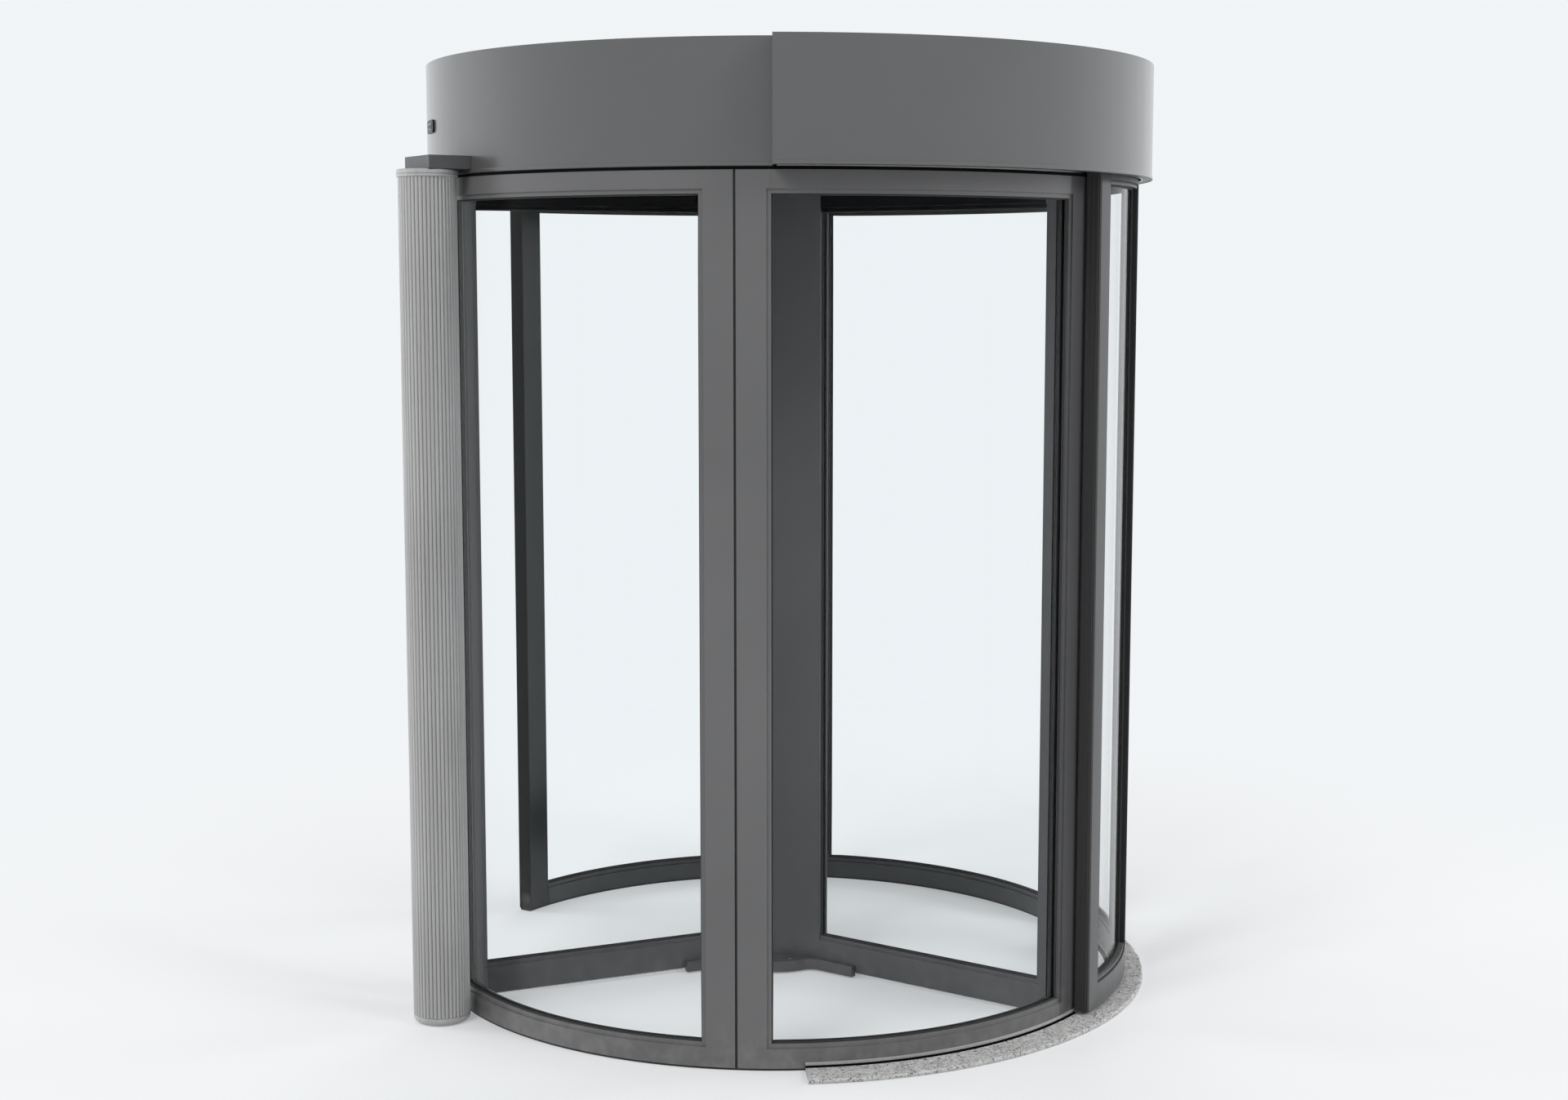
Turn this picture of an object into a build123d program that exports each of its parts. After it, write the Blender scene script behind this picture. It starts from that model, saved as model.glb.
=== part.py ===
from build123d import *
import math
import os

# A three-wing revolving door with curved night leaves on its outer side.
# Frame: origin on the turning axis at floor level, +Z up, +X towards the outside.
# Bearings are read from -Y, the middle of the near wall, and turn towards +X.

# Drum: clear inside radius, wall build-up and heights
INNER_RADIUS = 900.0
WALL_THICKNESS = 45.0
CLEAR_HEIGHT = 2200.0
CANOPY_HEIGHT = 300.0
WALL_HALF_ANGLE = 63.0
WALL_ANGLES = {"near": 0.0, "far": 180.0}
QUARTER_TURN = 90.0
HALF_TURN = 180.0
FULL_TURN = 360.0

# Wall frames
WALL_BASE_SEAL_HEIGHT = 6.0
WALL_BASE_SEAL_INSET = 4.0
WALL_BOTTOM_RAIL = 61.0
WALL_TOP_RAIL = 64.0
MEETING_STILE_WIDTH = 84.0
END_POST_WIDTH = 90.0
JOINT_GAP = 6.0
JOINT_SEAL_INSET = 4.0

# Glazing shared by walls, wings and night leaves
GLASS_THICKNESS = 10.0
GLASS_BITE = 14.0
GLASS_FIT = 0.3
BEAD_WIDTH = 11.0
BEAD_STEP = 5.0
OVERRUN = 5.0
SEAT_FIT = 0.3

# Canopy
SHEET = 4.0
FASCIA_PROUD = 2.0
FASCIA_TRACK_GAP = 20.0
CANOPY_SEAM_ANGLE = 5.5
RIM_WIDTH = 32.0
CEILING_THICKNESS = 12.0
CEILING_EDGE = 5.0
SHAFT_OPENING_GAP = 15.0
SENSOR_ANGLE = 66.5
SENSOR_PLACE_SHARE = 0.44
SENSOR_WIDTH = 86.0
SENSOR_HEIGHT = 34.0
SENSOR_CORNER_SHARE = 0.33
SENSOR_PROUD = 5.0

# Night leaves and the head track that carries them
RUNNING_GAP = 7.0
LEAF_THICKNESS = 38.0
LEAF_GROUND_GAP = 9.0
LEAF_BOTTOM_RAIL = 75.0
LEAF_TOP_RAIL = 38.0
LEAF_STILE_WIDTH = 64.0
LEAF_OVERLAP = 22.0
LEAF_EDGE_SEAL = 10.0
LEAF_MEETING_GAP = 3.0
LEAF_HEAD_RISE = 14.0
LEAF_GLASS_THICKNESS = 8.0
LEAF_GLASS_INSET = 9.0
LEAF_BEAD_STEP = 4.0
TRACK_WALL = 4.0
TRACK_LIP_GAP = 10.0
TRACK_SLOT_GAP = 5.0
TRACK_HEAD_ROOM = 26.0
TRACK_END_GAP = 6.0
HANGER_STEM = 6.0
HANGER_HEAD_HEIGHT = 12.0
HANGER_LENGTH = 90.0
HANGER_PLACE_SHARES = (0.2, 0.8)

# Stone sill in front of the outer side
SILL_INNER_GAP = 8.0
SILL_WIDTH = 87.0
SILL_HEIGHT = 10.0
SILL_START_ANGLE = 10.3
SILL_EDGE_BEVEL = 3.0

# Reeded column by the inner doorway
COLUMN_ANGLE = -52.6
COLUMN_RADIUS = 74.0
COLUMN_WALL = 9.0
COLUMN_WALL_GAP = 9.6
COLUMN_TOP_DROP = 10.0
COLUMN_CAP_PROUD = 3.5
COLUMN_CAP_HEIGHT = 20.0
COLUMN_CAP_ROUND = 4.0
COLUMN_FOOT_HEIGHT = 22.0
COLUMN_FOOT_ROUND = 15.0
COLUMN_FOOT_TOP_ROUND = 2.0
ROUND_ANGLES = (0.0, 45.0, 90.0)
REED_COUNT = 44
REED_FILL_SHARE = 0.46
REED_ANGLES = (-67.5, -22.5, 22.5, 67.5)
BRACKET_HEIGHT = 33.0
BRACKET_WIDTH = 154.0
BRACKET_REACH = 27.0

# Rotor: pivot, shaft, lobed post and foot cover
PIVOT_BASE_RADIUS = 60.0
PIVOT_BASE_HEIGHT = 10.0
PIVOT_PIN_RADIUS = 18.0
PIVOT_PIN_LENGTH = 50.0
PIN_RUNNING_FIT = 0.05
PIN_END_GAP = 2.0
SHAFT_RADIUS = 30.0
SHAFT_FIT = 0.2
BEARING_RADIUS = 75.0
BEARING_HEIGHT = 28.0
SHAFT_HEAD = 14.0
POST_TIP_RADIUS = 165.0
POST_WAIST_RADIUS = 86.0
POST_SKIN = 6.0
FOOT_TIP_RADIUS = 288.0
FOOT_HUB_RADIUS = 152.0
FOOT_ARM_WIDTH = 74.0
FOOT_FILLET = 40.0
FOOT_FLOOR_GAP = 5.0
FOOT_HEIGHT = 30.0
FOOT_CAVITY_GAP = 10.0
FOOT_CAVITY_HEIGHT = 14.0

# Wings
WING_NAMES = ("near_inner", "near_outer", "far")
FIRST_WING_ANGLE = -60.0
WING_THICKNESS = 40.0
WING_BOTTOM_RAIL = 84.0
WING_TOP_RAIL = 70.0
WING_STILE_WIDTH = 30.0
WING_BRUSH_LENGTH = 9.0
WING_BRUSH_THICKNESS = 8.0
WING_TIP_BRUSH = 5.0
WING_CLEARANCE = 5.0

# Sizes that follow from the ones above
WALL_OUTER_RADIUS = INNER_RADIUS + WALL_THICKNESS
INNER_FASCIA_RADIUS = WALL_OUTER_RADIUS + FASCIA_PROUD
CANOPY_TOP = CLEAR_HEIGHT + CANOPY_HEIGHT
LEAF_INNER_RADIUS = WALL_OUTER_RADIUS + RUNNING_GAP
LEAF_OUTER_RADIUS = LEAF_INNER_RADIUS + LEAF_THICKNESS
LEAF_MID_RADIUS = LEAF_INNER_RADIUS + LEAF_THICKNESS / 2
LEAF_TOP = CLEAR_HEIGHT + LEAF_HEAD_RISE
TRACK_OUTER_RADIUS = LEAF_OUTER_RADIUS + RUNNING_GAP + TRACK_WALL
OUTER_FASCIA_RADIUS = TRACK_OUTER_RADIUS + FASCIA_TRACK_GAP + SHEET
TRACK_LIP_LOW = LEAF_TOP + TRACK_LIP_GAP
TRACK_LIP_TOP = TRACK_LIP_LOW + TRACK_WALL
TRACK_TOP = TRACK_LIP_TOP + TRACK_HEAD_ROOM + TRACK_WALL
SILL_INNER_RADIUS = WALL_OUTER_RADIUS + SILL_INNER_GAP
SILL_OUTER_RADIUS = SILL_INNER_RADIUS + SILL_WIDTH
COLUMN_TOP = CLEAR_HEIGHT - COLUMN_TOP_DROP
FOOT_TOP = FOOT_FLOOR_GAP + FOOT_HEIGHT
ROTOR_TOP = CLEAR_HEIGHT - WING_CLEARANCE
WING_LOW = WING_CLEARANCE + WING_BRUSH_LENGTH
WING_HIGH = ROTOR_TOP - WING_BRUSH_LENGTH
WING_TIP_RADIUS = INNER_RADIUS - WING_CLEARANCE
WING_EDGE_RADIUS = WING_TIP_RADIUS - WING_TIP_BRUSH
WING_TURN = FULL_TURN / len(WING_NAMES)


def turn_of(length, radius):
    """Angle in degrees that a length takes up along a circle."""
    return math.degrees(length / radius)


def ring_bar(inner, outer, low, high, start, end):
    """Bar of rectangular section bent round the axis between two bearings."""
    section = Pos((inner + outer) / 2, (low + high) / 2) * Rectangle(outer - inner, high - low)
    bar = revolve(Plane.XZ * section, axis=Axis.Z, revolution_arc=end - start)
    return Rot(Z=start - QUARTER_TURN) * bar


def disc(radius, low, high):
    """Plain upright cylinder on the turning axis."""
    return extrude(Pos(0, 0, low) * Circle(radius), high - low)


def block(across, along, up):
    """Box given by its low and high limits on the three axes."""
    middle = [(low + high) / 2 for low, high in (across, along, up)]
    size = [high - low for low, high in (across, along, up)]
    return Pos(*middle) * Box(*size)


def at_bearing(shape, bearing):
    """Swing a shape drawn along +X to a bearing."""
    return Rot(Z=bearing - QUARTER_TURN) * shape


def turned_disc(radius, low, high, low_round, high_round):
    """Upright disc on the turning axis with both rims rounded off."""
    low_centre = Vector(radius - low_round, low + low_round)
    high_centre = Vector(radius - high_round, high - high_round)
    profile = [Vector(0, low)]
    profile += [low_centre + Vector(0, -low_round).rotate(Axis.Z, turn) for turn in ROUND_ANGLES]
    profile += [high_centre + Vector(high_round, 0).rotate(Axis.Z, turn) for turn in ROUND_ANGLES]
    profile.append(Vector(0, high))
    return revolve(Plane.XZ * make_face(Polyline(*profile, close=True)), axis=Axis.Z)


def curved_panel(inner, outer, low, high, start, end, rails, stiles, glass, inset, step):
    """Curved glazed frame: rails between full-height stiles, rebated for a bent pane."""
    pane_low, pane_high = low + rails[0], high - rails[1]
    pane_start, pane_end = start + turn_of(stiles[0], outer), end - turn_of(stiles[1], outer)
    bead = turn_of(BEAD_WIDTH, outer)
    bite = turn_of(GLASS_BITE, outer)
    fit = turn_of(GLASS_FIT, outer)
    glass_in, glass_out = inner + inset, inner + inset + glass
    bead_span = (pane_low - BEAD_WIDTH, pane_high + BEAD_WIDTH, pane_start - bead, pane_end + bead)
    rebate = ring_bar(outer - step, outer + OVERRUN, *bead_span)
    rebate += ring_bar(inner - OVERRUN, inner + step, *bead_span)
    rebate += ring_bar(
        glass_in - GLASS_FIT,
        glass_out + GLASS_FIT,
        pane_low - GLASS_BITE - GLASS_FIT,
        pane_high + GLASS_BITE + GLASS_FIT,
        pane_start - bite - fit,
        pane_end + bite + fit,
    )
    return {
        "start_stile": ring_bar(inner, outer, low, high, start, pane_start) - rebate,
        "end_stile": ring_bar(inner, outer, low, high, pane_end, end) - rebate,
        "bottom_rail": ring_bar(inner, outer, low, pane_low, pane_start, pane_end) - rebate,
        "top_rail": ring_bar(inner, outer, pane_high, high, pane_start, pane_end) - rebate,
        "glass": ring_bar(
            glass_in,
            glass_out,
            pane_low - GLASS_BITE,
            pane_high + GLASS_BITE,
            pane_start - bite,
            pane_end + bite,
        ),
    }


def wall(side, bearing):
    """One fixed side wall: two glazed panels with a sealed joint between them."""
    half_gap = turn_of(JOINT_GAP, WALL_OUTER_RADIUS) / 2
    shared = (INNER_RADIUS, WALL_OUTER_RADIUS, WALL_BASE_SEAL_HEIGHT, CLEAR_HEIGHT)
    rails = (WALL_BOTTOM_RAIL, WALL_TOP_RAIL)
    pane = (GLASS_THICKNESS, (WALL_THICKNESS - GLASS_THICKNESS) / 2, BEAD_STEP)
    first = curved_panel(
        *shared, bearing - WALL_HALF_ANGLE, bearing - half_gap, rails,
        (END_POST_WIDTH, MEETING_STILE_WIDTH), *pane,
    )
    second = curved_panel(
        *shared, bearing + half_gap, bearing + WALL_HALF_ANGLE, rails,
        (MEETING_STILE_WIDTH, END_POST_WIDTH), *pane,
    )
    return {
        f"{side}_wall_bottom_rails": [first["bottom_rail"], second["bottom_rail"]],
        f"{side}_wall_top_rails": [first["top_rail"], second["top_rail"]],
        f"{side}_wall_meeting_stiles": [first["end_stile"], second["start_stile"]],
        f"{side}_wall_end_posts": [first["start_stile"], second["end_stile"]],
        f"{side}_wall_glass": [first["glass"], second["glass"]],
    }


def wall_seals():
    """Soft joints between the wall panels, under the walls and along the stone sill."""
    half_gap = turn_of(JOINT_GAP, WALL_OUTER_RADIUS) / 2
    joint_radii = (INNER_RADIUS + JOINT_SEAL_INSET, WALL_OUTER_RADIUS - JOINT_SEAL_INSET)
    base_radii = (INNER_RADIUS + WALL_BASE_SEAL_INSET, WALL_OUTER_RADIUS - WALL_BASE_SEAL_INSET)
    joints, bases = [], []
    for bearing in WALL_ANGLES.values():
        joint_ends = (bearing - half_gap, bearing + half_gap)
        base_ends = (bearing - WALL_HALF_ANGLE, bearing + WALL_HALF_ANGLE)
        joints.append(ring_bar(*joint_radii, WALL_BASE_SEAL_HEIGHT, CLEAR_HEIGHT, *joint_ends))
        bases.append(ring_bar(*base_radii, 0, WALL_BASE_SEAL_HEIGHT, *base_ends))
    sill_joint = ring_bar(
        base_radii[1] + SEAT_FIT, SILL_INNER_RADIUS - SEAT_FIT, 0, WALL_BASE_SEAL_HEIGHT - SEAT_FIT,
        SILL_START_ANGLE, HALF_TURN - SILL_START_ANGLE,
    )
    return {"wall_joint_seals": joints, "floor_seals": [*bases, sill_joint]}


def canopy():
    """Canopy over the drum: two fascia bands of unlike radius, ceiling and roof cover."""
    seam = CANOPY_SEAM_ANGLE
    plate = turn_of(SHEET, OUTER_FASCIA_RADIUS)
    outer_start, outer_end = seam, HALF_TURN - seam
    inner_start, inner_end = outer_end - plate, FULL_TURN + outer_start + plate
    web_in = INNER_FASCIA_RADIUS - SHEET
    inner_band = ring_bar(web_in, INNER_FASCIA_RADIUS, CLEAR_HEIGHT, CANOPY_TOP, inner_start, inner_end)
    inner_band += ring_bar(
        INNER_FASCIA_RADIUS - RIM_WIDTH, web_in, CANOPY_TOP - SHEET, CANOPY_TOP, inner_start, inner_end
    )
    outer_in = OUTER_FASCIA_RADIUS - SHEET
    low_flange_in = TRACK_OUTER_RADIUS + SEAT_FIT
    end_plate_in = INNER_FASCIA_RADIUS + SEAT_FIT
    outer_band = ring_bar(outer_in, OUTER_FASCIA_RADIUS, CLEAR_HEIGHT, CANOPY_TOP, outer_start, outer_end)
    outer_band += ring_bar(
        OUTER_FASCIA_RADIUS - RIM_WIDTH, outer_in, CANOPY_TOP - SHEET, CANOPY_TOP, outer_start, outer_end
    )
    outer_band += ring_bar(
        low_flange_in, outer_in, CLEAR_HEIGHT, CLEAR_HEIGHT + SHEET, outer_start, outer_end
    )
    for start in (outer_start, outer_end - plate):
        outer_band += ring_bar(
            end_plate_in, outer_in, CLEAR_HEIGHT, CANOPY_TOP, start, start + plate
        )
    roof_high = CANOPY_TOP - SHEET
    roof_low = roof_high - SHEET
    roof_fit = turn_of(SEAT_FIT, INNER_FASCIA_RADIUS)
    roof = disc(web_in - SEAT_FIT, roof_low, roof_high)
    roof += ring_bar(
        web_in - SEAT_FIT - OVERRUN, outer_in - SEAT_FIT, roof_low, roof_high,
        outer_start + plate + roof_fit, outer_end - plate - roof_fit,
    )
    ceiling_top = CLEAR_HEIGHT + CEILING_THICKNESS
    ceiling = disc(WALL_OUTER_RADIUS - CEILING_EDGE, CLEAR_HEIGHT, ceiling_top)
    ceiling -= disc(SHAFT_RADIUS + SHAFT_OPENING_GAP, CLEAR_HEIGHT - OVERRUN, ceiling_top + OVERRUN)
    return {
        "inner_fascia": [inner_band],
        "outer_fascia": [outer_band],
        "roof_cover": [roof],
        "ceiling": [ceiling],
        "presence_sensors": [sensor(-SENSOR_ANGLE), sensor(SENSOR_ANGLE - HALF_TURN)],
    }


def sensor(bearing):
    """Flat presence sensor with rounded ends on the inner fascia."""
    middle = CLEAR_HEIGHT + CANOPY_HEIGHT * SENSOR_PLACE_SHARE
    half = turn_of(SENSOR_WIDTH, INNER_FASCIA_RADIUS) / 2
    bar = ring_bar(
        INNER_FASCIA_RADIUS, INNER_FASCIA_RADIUS + SENSOR_PROUD,
        middle - SENSOR_HEIGHT / 2, middle + SENSOR_HEIGHT / 2, bearing - half, bearing + half,
    )
    corners = bar.edges().filter_by(GeomType.LINE).filter_by(Axis.Z, reverse=True)
    return fillet(corners, SENSOR_HEIGHT * SENSOR_CORNER_SHARE)


def head_track():
    """Curved channel over the night leaves, open below between two lips."""
    start = CANOPY_SEAM_ANGLE + turn_of(SHEET + TRACK_END_GAP, WALL_OUTER_RADIUS)
    end = HALF_TURN - start
    inner_face = WALL_OUTER_RADIUS - CEILING_EDGE + SEAT_FIT
    inner_wall = inner_face + TRACK_WALL
    outer_wall = TRACK_OUTER_RADIUS - TRACK_WALL
    slot_half = HANGER_STEM / 2 + TRACK_SLOT_GAP
    track = ring_bar(inner_face, inner_wall, CLEAR_HEIGHT, TRACK_TOP, start, end)
    track += ring_bar(outer_wall, TRACK_OUTER_RADIUS, CLEAR_HEIGHT, TRACK_TOP, start, end)
    track += ring_bar(inner_wall, outer_wall, TRACK_TOP - TRACK_WALL, TRACK_TOP, start, end)
    track += ring_bar(inner_wall, LEAF_MID_RADIUS - slot_half, TRACK_LIP_LOW, TRACK_LIP_TOP, start, end)
    track += ring_bar(LEAF_MID_RADIUS + slot_half, outer_wall, TRACK_LIP_LOW, TRACK_LIP_TOP, start, end)
    return {"night_leaf_head_track": [track]}


def night_leaf(name, start, end, seal_at_start):
    """Curved sliding leaf hung from the head track, with a soft seal on its trailing edge."""
    low = SILL_HEIGHT + LEAF_GROUND_GAP
    seal_turn = turn_of(LEAF_EDGE_SEAL, LEAF_OUTER_RADIUS)
    frame_start = start + seal_turn if seal_at_start else start
    frame_end = end if seal_at_start else end - seal_turn
    seal_start, seal_end = (start, frame_start) if seal_at_start else (frame_end, end)
    panel = curved_panel(
        LEAF_INNER_RADIUS, LEAF_OUTER_RADIUS, low, LEAF_TOP, frame_start, frame_end,
        (LEAF_BOTTOM_RAIL, LEAF_TOP_RAIL), (LEAF_STILE_WIDTH, LEAF_STILE_WIDTH),
        LEAF_GLASS_THICKNESS, LEAF_GLASS_INSET, LEAF_BEAD_STEP,
    )
    stem_in, stem_out = LEAF_MID_RADIUS - HANGER_STEM / 2, LEAF_MID_RADIUS + HANGER_STEM / 2
    head_in, head_out = LEAF_INNER_RADIUS, LEAF_OUTER_RADIUS
    head_low = TRACK_LIP_TOP + SEAT_FIT
    hangers = []
    for share in HANGER_PLACE_SHARES:
        middle = frame_start + (frame_end - frame_start) * share
        half = turn_of(HANGER_LENGTH, LEAF_MID_RADIUS) / 2
        stem = ring_bar(stem_in, stem_out, LEAF_TOP, head_low, middle - half, middle + half)
        head = ring_bar(
            head_in, head_out, head_low, head_low + HANGER_HEAD_HEIGHT, middle - half, middle + half
        )
        hangers.append(stem + head)
    seal = ring_bar(LEAF_INNER_RADIUS, LEAF_OUTER_RADIUS, low, LEAF_TOP, seal_start, seal_end)
    return {
        f"{name}_rails": [panel["bottom_rail"], panel["top_rail"]],
        f"{name}_stiles": [panel["start_stile"], panel["end_stile"]],
        f"{name}_glass": [panel["glass"]],
        f"{name}_hangers": hangers,
        f"{name}_edge_seal": [seal],
    }


def night_leaves():
    """Pair of leaves that meet in the middle of the outer doorway."""
    overlap = turn_of(LEAF_OVERLAP, WALL_OUTER_RADIUS)
    half_gap = turn_of(LEAF_MEETING_GAP, LEAF_OUTER_RADIUS) / 2
    near_start = WALL_HALF_ANGLE - overlap
    near_end = QUARTER_TURN - half_gap
    leaves = night_leaf("near_night_leaf", near_start, near_end, True)
    leaves.update(night_leaf("far_night_leaf", HALF_TURN - near_end, HALF_TURN - near_start, False))
    return leaves


def sill():
    """Low curved stone sill in front of the outer half of the drum."""
    stone = ring_bar(
        SILL_INNER_RADIUS, SILL_OUTER_RADIUS, 0, SILL_HEIGHT,
        SILL_START_ANGLE, HALF_TURN - SILL_START_ANGLE,
    )
    rim = stone.edges().filter_by(GeomType.CIRCLE).group_by(Axis.Z)[-1].sort_by(SortBy.RADIUS)[-1]
    return {"stone_sill": [chamfer(rim, SILL_EDGE_BEVEL)]}


def reeded_section():
    """Hollow round section with a ring of reeds round its outside."""
    reed = REED_FILL_SHARE * 2 * math.pi * COLUMN_RADIUS / REED_COUNT
    points = []
    for index in range(REED_COUNT):
        middle = index * FULL_TURN / REED_COUNT
        for turn in REED_ANGLES:
            centre = Vector(COLUMN_RADIUS - reed, 0).rotate(Axis.Z, middle)
            points.append(centre + Vector(reed, 0).rotate(Axis.Z, middle + turn))
    return make_face(Polyline(*points, close=True)) - Circle(COLUMN_RADIUS - COLUMN_WALL)


def column():
    """Reeded column by the inner doorway, with a rounded foot, a cap and a bracket to the canopy."""
    distance = INNER_FASCIA_RADIUS + COLUMN_WALL_GAP + COLUMN_RADIUS
    place = at_bearing(Pos(distance, 0, 0), COLUMN_ANGLE)
    shaft = extrude(Pos(0, 0, COLUMN_FOOT_HEIGHT) * reeded_section(), COLUMN_TOP - COLUMN_FOOT_HEIGHT)
    foot = turned_disc(COLUMN_RADIUS, 0, COLUMN_FOOT_HEIGHT, COLUMN_FOOT_ROUND, COLUMN_FOOT_TOP_ROUND)
    bracket_low = COLUMN_TOP + COLUMN_CAP_HEIGHT
    bracket_high = bracket_low + BRACKET_HEIGHT
    cap = turned_disc(
        COLUMN_RADIUS + COLUMN_CAP_PROUD, COLUMN_TOP, bracket_low, COLUMN_CAP_ROUND, COLUMN_CAP_ROUND
    )
    bracket = block(
        (INNER_RADIUS, distance + BRACKET_REACH),
        (-BRACKET_WIDTH / 2, BRACKET_WIDTH / 2),
        (bracket_low, bracket_high),
    )
    bracket = at_bearing(bracket, COLUMN_ANGLE)
    bracket -= disc(INNER_FASCIA_RADIUS + SEAT_FIT, bracket_low - OVERRUN, bracket_high + OVERRUN)
    return {
        "reeded_column": [place * shaft],
        "column_foot": [place * foot],
        "column_cap": [place * cap],
        "column_bracket": [bracket],
    }


def lobed_section(tip, half_width, waist):
    """Three-armed section with hollow faces between the arm ends."""
    edges = []
    for index in range(len(WING_NAMES)):
        arm = index * WING_TURN
        right = Vector(tip, -half_width).rotate(Axis.Z, arm)
        left = Vector(tip, half_width).rotate(Axis.Z, arm)
        middle = Vector(waist, 0).rotate(Axis.Z, arm + WING_TURN / 2)
        following = Vector(tip, -half_width).rotate(Axis.Z, arm + WING_TURN)
        edges.append(Line(right, left))
        edges.append(ThreePointArc(left, middle, following))
    return make_face(edges)


def rotor_core():
    """Floor pivot and head bearing, with the shaft, post and foot cover that turn on them."""
    pivot_top = PIVOT_BASE_HEIGHT + PIVOT_PIN_LENGTH
    pivot = disc(PIVOT_BASE_RADIUS, 0, PIVOT_BASE_HEIGHT)
    pivot += disc(PIVOT_PIN_RADIUS, PIVOT_BASE_HEIGHT, pivot_top)
    ceiling_top = CLEAR_HEIGHT + CEILING_THICKNESS
    bearing_top = ceiling_top + BEARING_HEIGHT
    bearing = disc(BEARING_RADIUS, ceiling_top, bearing_top)
    bearing -= disc(SHAFT_RADIUS + PIN_RUNNING_FIT, ceiling_top - OVERRUN, bearing_top + OVERRUN)
    shaft_low = PIVOT_BASE_HEIGHT + SEAT_FIT
    shaft = disc(SHAFT_RADIUS, shaft_low, bearing_top + SHAFT_HEAD)
    shaft -= disc(PIVOT_PIN_RADIUS + PIN_RUNNING_FIT, shaft_low - OVERRUN, pivot_top + PIN_END_GAP)
    shaft_hole = disc(SHAFT_RADIUS + SHAFT_FIT, 0, CANOPY_TOP)
    half_wing = WING_THICKNESS / 2
    post_height = ROTOR_TOP - FOOT_TOP
    outline = lobed_section(POST_TIP_RADIUS, half_wing, POST_WAIST_RADIUS)
    hollow = lobed_section(
        POST_TIP_RADIUS - GLASS_BITE - POST_SKIN, half_wing - POST_SKIN, POST_WAIST_RADIUS - POST_SKIN
    )
    post = extrude(Pos(0, 0, FOOT_TOP) * outline, post_height)
    post -= extrude(Pos(0, 0, FOOT_TOP + POST_SKIN) * hollow, post_height - POST_SKIN * 2)
    pane_low, pane_high = WING_LOW + WING_BOTTOM_RAIL, WING_HIGH - WING_TOP_RAIL
    for index in range(len(WING_NAMES)):
        post -= Rot(Z=index * WING_TURN) * block(
            (POST_TIP_RADIUS - GLASS_BITE - GLASS_FIT, POST_TIP_RADIUS + OVERRUN),
            (-GLASS_THICKNESS / 2 - GLASS_FIT, GLASS_THICKNESS / 2 + GLASS_FIT),
            (pane_low - GLASS_BITE - GLASS_FIT, pane_high + GLASS_BITE + GLASS_FIT),
        )
    return {
        "floor_pivot": [pivot],
        "head_bearing": [bearing],
        "rotor_shaft": [shaft],
        "rotor_post": [at_bearing(post - shaft_hole, FIRST_WING_ANGLE)],
        "rotor_foot_cover": [at_bearing(foot_cover() - shaft_hole, FIRST_WING_ANGLE)],
    }


def foot_cover():
    """Low three-armed cover round the foot of the post, slotted for the wing rails."""
    arm_plan = Pos(FOOT_TIP_RADIUS / 2, 0) * Rectangle(FOOT_TIP_RADIUS, FOOT_ARM_WIDTH)
    plan = Circle(FOOT_HUB_RADIUS) + PolarLocations(0, len(WING_NAMES)) * arm_plan
    inner_corners = plan.vertices().filter_by(
        lambda vertex: Vector(vertex).length < (FOOT_HUB_RADIUS + FOOT_TIP_RADIUS) / 2
    )
    plan = fillet(inner_corners, FOOT_FILLET)
    cover = extrude(Pos(0, 0, FOOT_FLOOR_GAP) * plan, FOOT_HEIGHT)
    cover -= disc(PIVOT_BASE_RADIUS + FOOT_CAVITY_GAP, 0, FOOT_FLOOR_GAP + FOOT_CAVITY_HEIGHT)
    half_slot = WING_THICKNESS / 2 + SEAT_FIT
    for index in range(len(WING_NAMES)):
        cover -= Rot(Z=index * WING_TURN) * block(
            (POST_TIP_RADIUS - SEAT_FIT, FOOT_TIP_RADIUS + OVERRUN),
            (-half_slot, half_slot),
            (0, FOOT_TOP + OVERRUN),
        )
    return cover


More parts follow.
